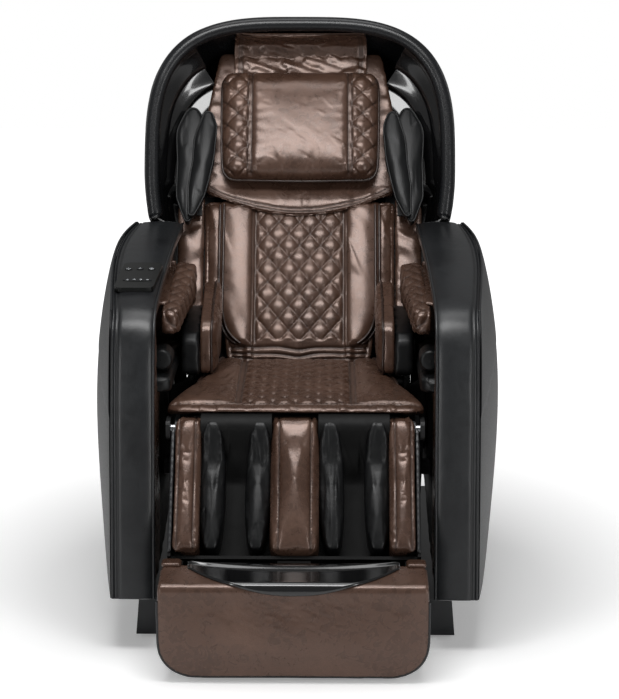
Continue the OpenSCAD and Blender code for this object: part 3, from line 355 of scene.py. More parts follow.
def paint(obj: Obj, values: Array) -> None:
    """Stores one number per vertex for the materials to read: the strength of the painted shade in
    seams and grooves.
    """
    layers = obj.data.attributes
    layer = layers.get("groove") or layers.new("groove", "FLOAT", "POINT")
    layer.data.foreach_set("value", np.asarray(values, np.float32))


def soften(obj: Obj, levels: int = 1) -> Obj:
    """Adds a subdivision surface."""
    mod = obj.modifiers.new("Subdivision", "SUBSURF")
    mod.levels = mod.render_levels = levels
    return obj


@dataclass
class Wrap:
    """Frame of a sheet that goes up the foot unit's front, over a round edge and back.

    With w counted along the sheet: upright below the turn, then an arc of radius r through the
    angle, then straight back and up. u is x and d the distance outwards, face at the sheet.
    """

    face: float
    turn: float
    r: float
    angle: float

    def world(self, p: Array) -> Array:
        """Row-frame places of (u, w, d) places."""
        w, out = p[..., 1], p[..., 2] - self.face
        a = np.clip((w - self.turn) / self.r, 0, self.angle)
        past = np.clip(w - self.turn - self.r * self.angle, 0, None)
        y = -self.face + self.r * (1 - np.cos(a)) + past * math.sin(self.angle) - out * np.cos(a)
        z = (np.minimum(w, self.turn) + self.r * np.sin(a) + past * math.cos(self.angle)
             + out * np.sin(a))
        return np.stack([p[..., 0], HIP[1] + y, z], -1)


# ---- Soft pads ----

Depth = float | Callable[[Array, Array], Array]


def at(value: Depth, u: Array, v: Array) -> Array:
    """A depth that is a number or a function of the place, at every place."""
    return np.asarray(value(u, v)) if callable(value) else np.full_like(u, value)


def quilting(u: Array, v: Array, width: float, height: float, depth: float,
        power: float = 0.42) -> Pair:
    """Diamond quilting: puff = (|sin(pi a)| |sin(pi b)|)^power, a, b = u / width +- v / height.

    Args:
        u: place across.
        v: place along.
        width: width of one diamond.
        height: height of one diamond.
        depth: puff from seam to middle.
        power: smaller is flatter between narrower seams.
    Returns:
        Height over the seams' middle level, and the strength of the painted shade in the seams.
    """
    a, b = u / width + v / height, u / width - v / height
    puff = (np.abs(np.sin(math.pi * a)) * np.abs(np.sin(math.pi * b))) ** power
    return depth * (puff - 0.72), 1 - smooth(puff, 0.0, 0.5)


def seam(distance: Array, depth: float, width: float = 0.004) -> Pair:
    """Sewn line: a narrow dip in a wide soft one.

    Args:
        distance: signed distance from the line.
        depth: depth of the dip.
        width: half width of the narrow dip.
    Returns:
        Height and the strength of the painted shade in the dip.
    """
    return (-depth * (0.6 * ridge(distance, width) + 0.4 * ridge(distance, 3.5 * width)),
            0.8 * ridge(distance, width))


def folds(distance: Array, along: Array, seed: int, reach: float, pitch: float,
        depth: float) -> Array:
    """Gathers that run away from a seam: sine folds across it that fade over the reach."""
    wobble = waves(along, distance * 0.6, seed, 3.2 * pitch)
    return (depth * np.exp(-np.abs(distance) / reach)
            * np.sin(2 * math.pi * (along + 0.35 * pitch * wobble) / pitch))


@dataclass
class Pad:
    """Stuffed piece over an outline: crowned in front, rounded at the edge, flat at the back.

    Attributes:
        name: object name.
        space: frame of the face.
        outline: closed (n, 2) outline in the face.
        front: depth of the front at the edge.
        back: depth of the back.
        edge: radius of the front edge.
        crown: rise of the middle over the edge.
        voxel: size of the even mesh.
        puff: most that the cloth simulation may move a point; 0 leaves it out.
        relief: seams and folds added on the fine mesh, with the painted shade of their grooves.
        sewn: where the cloth is held in the simulation.
        facing: least share of the face's direction in a normal for the relief to show there.
    """

    name: str
    space: Space
    outline: Array
    front: Depth
    back: Depth
    edge: float = 0.012
    crown: float = 0.006
    voxel: float = 0.005
    puff: float = 0.0
    relief: Optional[Relief] = None
    sewn: Optional[Callable[[Array, Array], Array]] = None
    facing: float = 0.05

    def form(self) -> Obj:
        """Closed polar form of the pad.

        Rings run from the back's middle over the rounded edge to the front's middle. Inside the
        edge a ring at share t of the radius rises by crown * (1 - t^2)^0.8.
        """
        line = resample(self.outline, max(48, int(len(self.outline) * 2)), closed=True)
        centre = (line.min(0) + line.max(0)) / 2
        arm = line - centre
        reach = np.linalg.norm(arm, axis=1, keepdims=True)
        rings: list[Array] = []

        def ring(inset: Array | float, depth: Array) -> None:
            """Adds the outline moved inwards by inset, at the given depths."""
            flat = centre + arm * (1 - inset / reach)
            rings.append(np.column_stack([flat, depth]))

        def ends(inset: Array | float, value: Depth) -> Array:
            """A face's depths along the outline moved inwards by inset."""
            flat = centre + arm * (1 - inset / reach)
            return at(value, flat[:, 0], flat[:, 1])

        small = 0.4 * self.edge
        for t in np.linspace(0.04, 0.92, 8):
            inset = reach * (1 - t) + small * t
            ring(inset, ends(inset, self.back))
        for a in np.linspace(0, math.pi / 2, 4):
            ring(small * (1 - math.sin(a)), ends(0, self.back) + small * (1 - math.cos(a)))
        for a in np.linspace(0, math.pi / 2, 7):
            ring(self.edge * (1 - math.cos(a)), ends(0, self.front) - self.edge * (1 - math.sin(a)))
        for t in np.linspace(0.97, 0.02, 24):
            inset = reach * (1 - t) + self.edge * t
            ring(inset, ends(inset, self.front) + self.crown * (1 - t * t) ** 0.8)
        return loft(self.name, self.space.world(np.array(rings)))

    def build(self) -> Obj:
        """Even mesh, simulated where asked, subdivided, with its relief.

        Returns:
            The pad's object.
        """
        obj = self.form()
        mod = obj.modifiers.new("Remesh", "REMESH")
        mod.mode = "VOXEL"
        mod.voxel_size = self.voxel
        applied(obj)
        if self.puff > 0:
            self.simulate(obj)
        soften(obj)
        applied(obj)
        self.engrave(obj)
        obj.data.shade_smooth()
        return obj

    def simulate(self, obj: Obj) -> None:
        """Blows the cover up with Cloth, held at the sewn places, with no point past the cap."""
        start = coordinates(obj)
        place = self.space.local(start)
        hold = np.zeros(len(start))
        if self.sewn is not None:
            hold = np.clip(self.sewn(place[:, 0], place[:, 1]), 0, 1)
        group = obj.vertex_groups.new(name="sewn")
        for level in (0.5, 1.0):
            chosen = np.nonzero(hold >= level)[0]
            if len(chosen):
                group.add(chosen.tolist(), level, "REPLACE")
        mod = obj.modifiers.new("Cloth", "CLOTH")
        cloth = mod.settings
        cloth.quality = 5
        cloth.use_pressure = True
        cloth.uniform_pressure_force = 4.0
        cloth.tension_stiffness = cloth.compression_stiffness = 12.0
        cloth.bending_stiffness = 0.4
        cloth.effector_weights.gravity = 0.0
        cloth.vertex_group_mass = "sewn"
        mod.collision_settings.use_collision = False
        mod.point_cache.frame_start, mod.point_cache.frame_end = 1, 20
        for number in range(1, 21):
            bpy.context.scene.frame_set(number)
        moved = obj.evaluated_get(bpy.context.evaluated_depsgraph_get())
        flat = np.empty(len(start) * 3, np.float32)
        moved.data.vertices.foreach_get("co", flat)
        shift = flat.reshape(-1, 3) - start
        obj.modifiers.clear()
        obj.vertex_groups.clear()
        size = np.linalg.norm(shift, axis=1, keepdims=True)
        shift *= np.minimum(1.0, self.puff / np.maximum(size, 1e-9))
        low = at(self.back, place[:, 0], place[:, 1])
        set_coordinates(obj, start + shift * smooth(place[:, 2], low + 0.001, low + 0.008)[:, None])
        bpy.context.scene.frame_set(1)

    def engrave(self, obj: Obj) -> None:
        """Moves the fine mesh along its normals by the relief and stores the painted shade of its
        grooves.
        """
        co, normal = coordinates(obj), coordinates(obj, "normal")
        place = self.space.local(co)
        height, groove = np.zeros(len(co)), np.zeros(len(co))
        if self.relief is not None:
            faces = smooth(normal @ self.space.d, self.facing, self.facing + 0.5)
            height, groove = self.relief(place[:, 0], place[:, 1], place[:, 2])
            height, groove = height * faces, groove * faces
        set_coordinates(obj, co + normal * height[:, None])
        paint(obj, groove)


class Cover:
    """Finds places on a finished surface for piping and stitches."""

    def __init__(self, obj: Obj, space: Space) -> None:
        """Keeps the surface as a search tree."""
        self.space = space
        self.tree = BVHTree.FromObject(obj, bpy.context.evaluated_depsgraph_get())

    def cast(self, flat: Array, lift: float = 0.0) -> Pair:
        """Points on the front of the surface at places of its face, one each 3 mm.

        Args:
            flat: (n, 2) path in the face.
            lift: height over the surface.
        Returns:
            Points and normals.
        """
        length = np.linalg.norm(np.diff(flat, axis=0), axis=1).sum()
        flat = resample(np.asarray(flat, float), max(8, int(length / 0.003)))
        start = self.space.world(np.column_stack([flat, np.full(len(flat), 1.0)]))
        down = Vector(-self.space.d)
        hits = [self.tree.ray_cast(Vector(p), down)[:2] for p in start]
        kept = [(h, n) for h, n in hits if h is not None]
        points = np.array([h for h, _ in kept])
        normals = unit(np.array([n for _, n in kept]))
        for _ in range(3):
            normals = unit(normals + np.vstack([normals[:1], normals[:-1]])
                + np.vstack([normals[1:], normals[-1:]]))
            points[1:-1] = (points[:-2] + 2 * points[1:-1] + points[2:]) / 4
        return points + normals * lift, normals

    def nearest(self, points: Array, lift: float = 0.0) -> Pair:
        """Points of the surface closest to given ones, and its normals there."""
        hits = [self.tree.find_nearest(Vector(p))[:2] for p in points]
        found = np.array([h for h, _ in hits])
        normals = unit(np.array([n for _, n in hits]))
        return found + normals * lift, normals


def edge_path(pad: Pad, inset: float, drop: float) -> Array:
    """Closed path just inside a pad's outline, below its front edge, in the row frame."""
    line = resample(pad.outline, 220, closed=True)
    centre = (line.min(0) + line.max(0)) / 2
    arm = line - centre
    flat = centre + arm * (1 - inset / np.linalg.norm(arm, axis=1, keepdims=True))
    return pad.space.world(np.column_stack([flat, at(pad.front, flat[:, 0], flat[:, 1]) - drop]))


# ---- Finishes ----


def tone(red: float, green: float, blue: float) -> tuple[float, float, float, float]:
    """Linear colour from display values of 0 to 255."""
    def linear(c: float) -> float:
        """One channel: the display curve undone."""
        c /= 255
        return c / 12.92 if c <= 0.04045 else ((c + 0.055) / 1.055) ** 2.4
    return linear(red), linear(green), linear(blue), 1.0


class Graph:
    """A material's node tree with one Principled shader, and short calls to wire it."""

    def __init__(self, name: str) -> None:
        """Starts a material with its output, shader and object coordinates."""
        self.material = bpy.data.materials.new(name)
        self.material.use_nodes = True
        self.tree = self.material.node_tree
        self.tree.nodes.clear()
        out = self.tree.nodes.new("ShaderNodeOutputMaterial")
        self.shader = self.tree.nodes.new("ShaderNodeBsdfPrincipled")
        self.tree.links.new(self.shader.outputs[0], out.inputs[0])
        self.place = self.tree.nodes.new("ShaderNodeTexCoord").outputs["Object"]

    def node(self, kind: str, wires: Optional[dict] = None, **settings: Any
             ) -> bpy.types.Node:
        """Adds a node; wires give socket values or the outputs that feed them."""
        made = self.tree.nodes.new("ShaderNode" + kind)
        for key, value in settings.items():
            setattr(made, key, value)
        for key, value in (wires or {}).items():
            self.feed(made.inputs[key], value)
        return made

    def feed(self, socket: Socket, value: Any) -> None:
        """Links an output to a socket, or sets the socket's value."""
        if isinstance(value, Socket):
            self.tree.links.new(value, socket)
        else:
            socket.default_value = value

    def set(self, **values: Any) -> None:
        """Sets or feeds the shader's sockets; underscores stand for spaces."""
        for key, value in values.items():
            self.feed(self.shader.inputs[key.replace("_", " ")], value)

    def noise(self, scale: float, detail: float = 3.0, rough: float = 0.55,
              stretch: Sequence[float] = (1, 1, 1), warp: float = 0.0) -> Socket:
        """Noise in object space, stretched per axis."""
        place = self.node("Mapping", {"Vector": self.place, "Scale": stretch}).outputs[0]
        return self.node("TexNoise", {"Vector": place, "Scale": scale, "Detail": detail,
            "Roughness": rough, "Distortion": warp}).outputs["Fac"]

    def cells(self, scale: float, feature: str = "F1", stretch: Sequence[float] = (1, 1, 1)
              ) -> Socket:
        """Voronoi distance in object space."""
        place = self.node("Mapping", {"Vector": self.place, "Scale": stretch}).outputs[0]
        return self.node("TexVoronoi", {"Vector": place, "Scale": scale}, feature=feature
            ).outputs["Distance"]

    def math(self, what: str, a: Any, b: Any = 0.0) -> Socket:
        """One Math node."""
        return self.node("Math", {0: a, 1: b}, operation=what).outputs[0]

    def span(self, value: Any, low: float, high: float, to_low: float = 0.0,
             to_high: float = 1.0) -> Socket:
        """Map Range, clamped."""
        return self.node("MapRange", {"Value": value, "From Min": low, "From Max": high,
            "To Min": to_low, "To Max": to_high}).outputs[0]

    def mix(self, share: Any, a: Any, b: Any) -> Socket:
        """Mixes two colours."""
        return self.node("Mix", {0: share, 6: a, 7: b}, data_type="RGBA").outputs[2]

    def bump(self, height: Socket, strength: float, distance: float,
             over: Optional[Socket] = None) -> Socket:
        """Bump on top of an earlier one."""
        wires = {"Height": height, "Strength": strength, "Distance": distance}
        if over is not None:
            wires["Normal"] = over
        return self.node("Bump", wires).outputs[0]

    def groove(self) -> Socket:
        """The painted shade of seams and grooves stored on the mesh."""
        return self.node("Attribute", attribute_name="groove").outputs["Fac"]


@dataclass(frozen=True)
class Leather:
    """Coated leather: pebble grain, fine creases, mottled colour, seams darkened with painted shade
    and made duller.

    Attributes:
        name: material name.
        dark: darkest colour, for the mottling, the grain's pits and the painted shade in seams and
            grooves.
        mid: main colour.
        light: rubbed colour.
        rough: middle roughness.
        grain: pebbles per metre.
        crease: strength of the fine creases.
        pearl: share of pearl in the coating, which tints what it reflects.
        shine: specular level.
    """

    name: str
    dark: tuple
    mid: tuple
    light: tuple
    rough: float = 0.38
    grain: float = 520.0
    crease: float = 0.2
    pearl: float = 0.0
    shine: float = 0.5

    def make(self) -> Mat:
        """Builds the node tree."""
        g = Graph(self.name)
        cloud = g.noise(7.0, 3.0, 0.5, warp=0.4)
        fine = g.noise(55.0, 5.0, 0.6, warp=0.8)
        pebble = g.cells(self.grain)
        crack = g.cells(70.0, "DISTANCE_TO_EDGE", (1, 1.6, 1))
        colour = g.mix(g.span(cloud, 0.32, 0.7), self.mid, self.light)
        colour = g.mix(g.span(fine, 0.25, 0.55, 0.35, 0.0), colour, self.dark)
        colour = g.mix(g.span(pebble, 0.25, 0.75, 0.0, 0.22), colour, self.dark)
        # Painted shade: seams, quilting valleys and creases are darkened by the stored value.
        colour = g.mix(g.math("MULTIPLY", g.groove(), 0.8), colour, self.dark)
        rough = g.span(g.math("ADD", cloud, fine), 0.6, 1.4, self.rough - 0.05, self.rough + 0.08)
        rough = g.math("ADD", rough, g.math("MULTIPLY", g.groove(), 0.16))
        normal = g.bump(pebble, 0.14, 0.0004)
        normal = g.bump(g.span(crack, 0.0, 0.05), self.crease * 0.5, 0.0005, normal)
        normal = g.bump(g.noise(20.0, 3.0, 0.5, (1, 1, 1), 0.8), self.crease, 0.003, normal)
        g.set(Base_Color=colour, Roughness=rough, Normal=normal, Metallic=self.pearl,
              Specular_IOR_Level=self.shine)
        return g.material


@dataclass(frozen=True)
class Lacquer:
    """High-gloss moulding: clear coat over a dark colour with faint ripples and dust."""

    name: str
    colour: tuple
    rough: float = 0.1
    ripple: float = 0.05

    def make(self) -> Mat:
        """Builds the node tree."""
        g = Graph(self.name)
        haze = g.noise(6.0, 3.0)
        dust = g.span(g.noise(900.0, 2.0, 0.7), 0.62, 0.78, 0.0, 0.22)
        colour = g.mix(dust, self.colour, tone(70, 72, 76))
        g.set(Base_Color=colour, Roughness=g.span(haze, 0.3, 0.7, self.rough, self.rough + 0.07),
              Normal=g.bump(g.noise(14.0, 2.0), self.ripple, 0.004), Coat_Weight=0.7,
              Coat_Roughness=0.05, Specular_IOR_Level=0.5)
        return g.material


@dataclass(frozen=True)
class Plastic:
    """Moulded plastic with spark-eroded texture and slightly rubbed high spots."""

    name: str
    colour: tuple
    worn: tuple
    rough: float = 0.45
    texture: float = 700.0
    depth: float = 0.18

    def make(self) -> Mat:
        """Builds the node tree."""
        g = Graph(self.name)
        cloud = g.noise(7.0, 4.0)
        speck = g.noise(self.texture, 3.0, 0.7)
        edge = g.node("NewGeometry").outputs["Pointiness"]
        colour = g.mix(g.span(cloud, 0.3, 0.75, 0.0, 0.35), self.colour, self.worn)
        colour = g.mix(g.span(edge, 0.52, 0.6, 0.0, 0.4), colour, self.worn)
        # Painted shade in joint lines and seams: darkened towards near black by the stored value.
        colour = g.mix(g.math("MULTIPLY", g.groove(), 0.8), colour, tone(10, 10, 11))
        g.set(Base_Color=colour, Roughness=g.span(speck, 0.3, 0.7, self.rough - 0.06,
            self.rough + 0.08), Normal=g.bump(speck, self.depth, 0.0004), Specular_IOR_Level=0.45)
        return g.material


@dataclass(frozen=True)
class Metal:
    """Painted, cast or brushed metal: streaks along one axis, scuffed edges.

    Attributes:
        name: material name.
        colour: main colour.
        worn: colour of the rubbed edges.
        metallic: 1 for bare metal.
        rough: middle roughness.
        streaks: stretch of the brushing per axis.
    """

    name: str
    colour: tuple
    worn: tuple
    metallic: float = 0.0
    rough: float = 0.4
    streaks: tuple = (1, 1, 1)

    def make(self) -> Mat:
        """Builds the node tree."""
        g = Graph(self.name)
        lines = g.noise(160.0, 3.0, 0.6, self.streaks)
        cloud = g.noise(11.0, 4.0, 0.6)
        edge = g.node("NewGeometry").outputs["Pointiness"]
        colour = g.mix(g.span(cloud, 0.35, 0.8, 0.0, 0.3), self.colour, self.worn)
        colour = g.mix(g.span(edge, 0.53, 0.62, 0.0, 0.7), colour, self.worn)
        g.set(Base_Color=colour, Metallic=self.metallic,
              Roughness=g.span(lines, 0.3, 0.7, self.rough - 0.08, self.rough + 0.1),
              Normal=g.bump(lines, 0.1, 0.0004))
        return g.material


@dataclass(frozen=True)
class Cloth:
    """Woven fabric: two crossed thread waves, fuzz and uneven dye."""

    name: str
    colour: tuple
    light: tuple
    threads: float = 900.0

    def make(self) -> Mat:
        """Builds the node tree."""
        g = Graph(self.name)
        weave = [g.node("TexWave", {"Vector": g.place, "Scale": self.threads / 20,
            "Distortion": 0.6}, bands_direction=way).outputs["Fac"] for way in ("X", "Z")]
        thread = g.math("MAXIMUM", *weave)
        colour = g.mix(g.span(g.noise(24.0, 5.0), 0.3, 0.75), self.colour, self.light)
        colour = g.mix(g.span(thread, 0.0, 0.8, 0.35, 0.0), colour, tone(20, 21, 23))
        g.set(Base_Color=colour, Roughness=0.82, Normal=g.bump(thread, 0.35, 0.0008),
              Sheen_Weight=0.25, Sheen_Roughness=0.5, Specular_IOR_Level=0.3)
        return g.material


class Finish(Enum):
    """Every finish of the chair, by the look that it stands for."""

    BROWN = Leather("brown_leather", tone(28, 18, 14), tone(88, 64, 52), tone(108, 81, 67), 0.27,
        480.0, 0.1, 0.35, 0.8)
    BLACK = Leather("black_leather", tone(4, 4, 5), tone(13, 14, 15), tone(19, 20, 21), 0.36,
        560.0, 0.12, 0.0, 0.32)
    BAND = Leather("band_leather", tone(8, 9, 10), tone(27, 28, 30), tone(36, 38, 40), 0.32,
        620.0, 0.05, 0.0, 0.5)
    # Near-black copy of the black leather: painted shade for the deep wells, shells and hidden
    # sheets.
    WELL = Leather("well_leather", tone(2, 2, 2), tone(6, 6, 6), tone(9, 9, 9), 0.55,
        560.0, 0.1, 0.0, 0.2)
    PIPING = Leather("piping_leather", tone(14, 10, 9), tone(46, 33, 27), tone(64, 47, 40), 0.3,
        700.0, 0.05, 0.2, 0.6)
    THREAD = Cloth("thread_brown", tone(66, 48, 40), tone(92, 70, 60), 2400.0)
    PANEL = Plastic("arm_panel", tone(24, 25, 27), tone(36, 38, 40), 0.34, 420.0, 0.05)
    GLOSS = Lacquer("gloss_trim", tone(12, 12, 13), 0.12, 0.04)
    SCREEN = Plastic("panel_gloss", tone(15, 16, 15), tone(22, 23, 22), 0.34, 900.0, 0.02)
    COVER = Plastic("dark_cover", tone(20, 21, 23), tone(34, 35, 38), 0.42, 800.0, 0.2)
    HOOD = Plastic("hood_satin", tone(20, 21, 23), tone(34, 35, 38), 0.27, 520.0, 0.06)
    INLET = Plastic("inlet_plastic", tone(22, 22, 24), tone(38, 38, 40), 0.38, 900.0, 0.15)
    KEY = Plastic("key_plastic", tone(14, 15, 16), tone(26, 27, 29), 0.5, 900.0, 0.1)
    ROLLER = Plastic("roller_plastic", tone(156, 150, 138), tone(176, 170, 158), 0.5, 600.0, 0.2)
    RUBBER = Plastic("rubber", tone(20, 20, 21), tone(38, 38, 39), 0.68, 500.0, 0.35)
    STEEL = Metal("painted_steel", tone(13, 13, 14), tone(28, 29, 30), 0.0, 0.5)
    HOUSING = Metal("motor_housing", tone(36, 38, 41), tone(78, 80, 83), 0.25, 0.5)
    BRIGHT = Metal("bright_steel", tone(168, 170, 174), tone(196, 198, 200), 1.0, 0.26,
        (1, 0.08, 0.08))
    MARK = Metal("mark_silver", tone(186, 190, 194), tone(206, 208, 210), 0.4, 0.34)
    GREY = Cloth("grey_fabric", tone(70, 73, 78), tone(104, 107, 112), 1100.0)


SLOT_FINISH = {
    "frame_steel": Finish.STEEL, "motor_housing": Finish.HOUSING, "bright_steel": Finish.BRIGHT,
    "arm_panel": Finish.PANEL, "dark_cover": Finish.COVER, "inlet_plastic": Finish.INLET,
    "gloss_trim": Finish.GLOSS, "key_plastic": Finish.KEY, "brown_leather": Finish.BROWN,
    "black_leather": Finish.BLACK, "grey_fabric": Finish.GREY, "roller_plastic": Finish.ROLLER,
    "rubber_foot": Finish.RUBBER, "wheel_rubber": Finish.RUBBER,}
_made: dict[str, Mat] = {}


def material(finish: Finish) -> Mat:
    """The finish's material, built once."""
    if finish.name not in _made:
        _made[finish.name] = finish.value.make()
    return _made[finish.name]


def dress(obj: Obj, body: str, finish: Finish, replaces: Sequence[str] = ()) -> Obj:
    """Gives a piece its finish, body and slot, and hides the CAD nodes that it stands for.

    Args:
        obj: finished piece.
        body: CAD body that it rides on.
        finish: its material.
        replaces: CAD nodes that it stands for.
    Returns:
        The same object.
    """
    obj.data.materials.clear()
    obj.data.materials.append(material(finish))
    if replaces:
        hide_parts(*replaces)
    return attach(obj, body)


class CarriedNodes:
    """Procedural finishes for the CAD nodes that stay."""

    # The calf and foot shells take the near-black leather of painted shade.
    SPECIAL = {"control_panel": Finish.SCREEN, "base_skirt_left": Finish.PANEL,
               "base_skirt_right": Finish.PANEL, "back_shell": Finish.HOOD,
               "calf_shell": Finish.WELL, "foot_shell": Finish.WELL}

    def build(self) -> None:
        """Swaps each node's materials for the finish of its slot."""
        for node, obj in frame["nodes"].items():
            for k, slot in enumerate(obj.material_slots):
                name = slot.material.name.split(".")[0] if slot.material else ""
                finish = self.SPECIAL.get(node) or SLOT_FINISH.get(name, Finish.COVER)
                obj.material_slots[k].material = material(finish)
        LOG.info("finishes on %d CAD nodes", len(frame["nodes"]))


# ---- Studio ----


@dataclass
class Studio:
    """Camera, lamps, world and floor."""

    distance: float = 4.6
    height: float = 0.475
    elevation: float = 12.0
    azimuth: float = 0.8
    lens: float = 118.8
    shift: float = 0.0165

    def camera(self) -> None:
        """Long lens a little above the seat, looking along +Y."""
        data = bpy.data.cameras.new("camera")
        data.lens, data.sensor_width, data.clip_end = self.lens, 36.0, 30.0
        data.shift_x = self.shift
        obj = bpy.data.objects.new("camera", data)
        bpy.context.scene.collection.objects.link(obj)
        a, e = math.radians(self.azimuth), math.radians(self.elevation)
        target = Vector((0.0, HIP[1] - 0.12, self.height))
        back = Vector((math.sin(a) * math.cos(e), -math.cos(a) * math.cos(e), math.sin(e)))
        obj.location = target + back * self.distance
        obj.rotation_euler = (-back).to_track_quat("-Z", "Y").to_euler()
        bpy.context.scene.camera = obj

    def lamp(self, name: str, place: Sequence[float], size: Sequence[float], power: float) -> None:
        """Soft rectangular lamp aimed at the chair's middle."""
        data = bpy.data.lights.new(name, "AREA")
        data.shape, data.size, data.size_y, data.energy = "RECTANGLE", size[0], size[1], power
        obj = bpy.data.objects.new(name, data)
        bpy.context.scene.collection.objects.link(obj)
        obj.location = place
        obj.rotation_euler = (Vector((0, 0, 0.6)) - Vector(place)).to_track_quat("-Z",
            "Y").to_euler()

    def world(self) -> None:
        """Dim grey light on the object, plain white to the camera."""
        world = bpy.data.worlds.new("studio")
        bpy.context.scene.world = world
        world.use_nodes = True
        tree = world.node_tree
        tree.nodes.clear()
        seen = tree.nodes.new("ShaderNodeLightPath").outputs["Is Camera Ray"]
        dim, plain = (tree.nodes.new("ShaderNodeBackground") for _ in range(2))
        dim.inputs["Color"].default_value = (1.0, 1.0, 1.0, 1.0)
        dim.inputs["Strength"].default_value = 0.2
        plain.inputs["Color"].default_value = (1.0, 1.0, 1.0, 1.0)
        plain.inputs["Strength"].default_value = 1.0
        mix = tree.nodes.new("ShaderNodeMixShader")
        out = tree.nodes.new("ShaderNodeOutputWorld")
        tree.links.new(seen, mix.inputs[0])
        tree.links.new(dim.outputs[0], mix.inputs[1])
        tree.links.new(plain.outputs[0], mix.inputs[2])
        tree.links.new(mix.outputs[0], out.inputs[0])

    def floor(self) -> None:
        """Pale floor that keeps the chair's shadow and fades to white away from it."""
        a = np.linspace(-8, 8, 9)
        x, y = np.meshgrid(a, a, indexing="ij")
        verts = np.stack([x, y, np.zeros_like(x)], -1).reshape(-1, 3)
        i, j = np.meshgrid(np.arange(8), np.arange(8), indexing="ij")
        q = (i * 9 + j).ravel()
        obj = mesh_object("floor", verts, [np.stack([q, q + 9, q + 10, q + 1], 1)])
        g = Graph("floor")
        path = g.node("LightPath")
        soft = g.noise(3.0, 3.0)
        g.set(Base_Color=g.mix(soft, (0.93, 0.93, 0.93, 1), (0.96, 0.96, 0.96, 1)), Roughness=0.9,
              Specular_IOR_Level=0.1)
        away = g.node("VectorMath", {0: g.place}, operation="LENGTH").outputs["Value"]
        glow = g.math("MULTIPLY", path.outputs["Is Camera Ray"], g.span(away, 0.5, 1.7, 0.22, 1.0))
        g.set(Emission_Color=(1, 1, 1, 1), Emission_Strength=glow)
        obj.data.materials.append(g.material)

    def build(self) -> None:
        """Makes everything round the chair."""
        bpy.context.scene.view_settings.view_transform = "Standard"
        self.camera()
        self.world()
        self.floor()
        self.lamp("top", (-0.1, -0.92, 2.15), (1.3, 0.55), 21.0)
        self.lamp("sky", (0.0, 0.2, 3.6), (2.0, 1.2), 22.0)
        self.lamp("strip_left", (-1.9, -2.9, 1.05), (0.25, 2.1), 17.0)
        self.lamp("strip_right", (1.9, -2.9, 1.05), (0.25, 2.1), 18.0)
        self.lamp("rim_left", (-3.0, 1.4, 1.6), (0.7, 2.2), 7.0)
        self.lamp("rim_right", (3.0, 1.4, 1.6), (0.7, 2.2), 7.0)


# ---- Hood ----


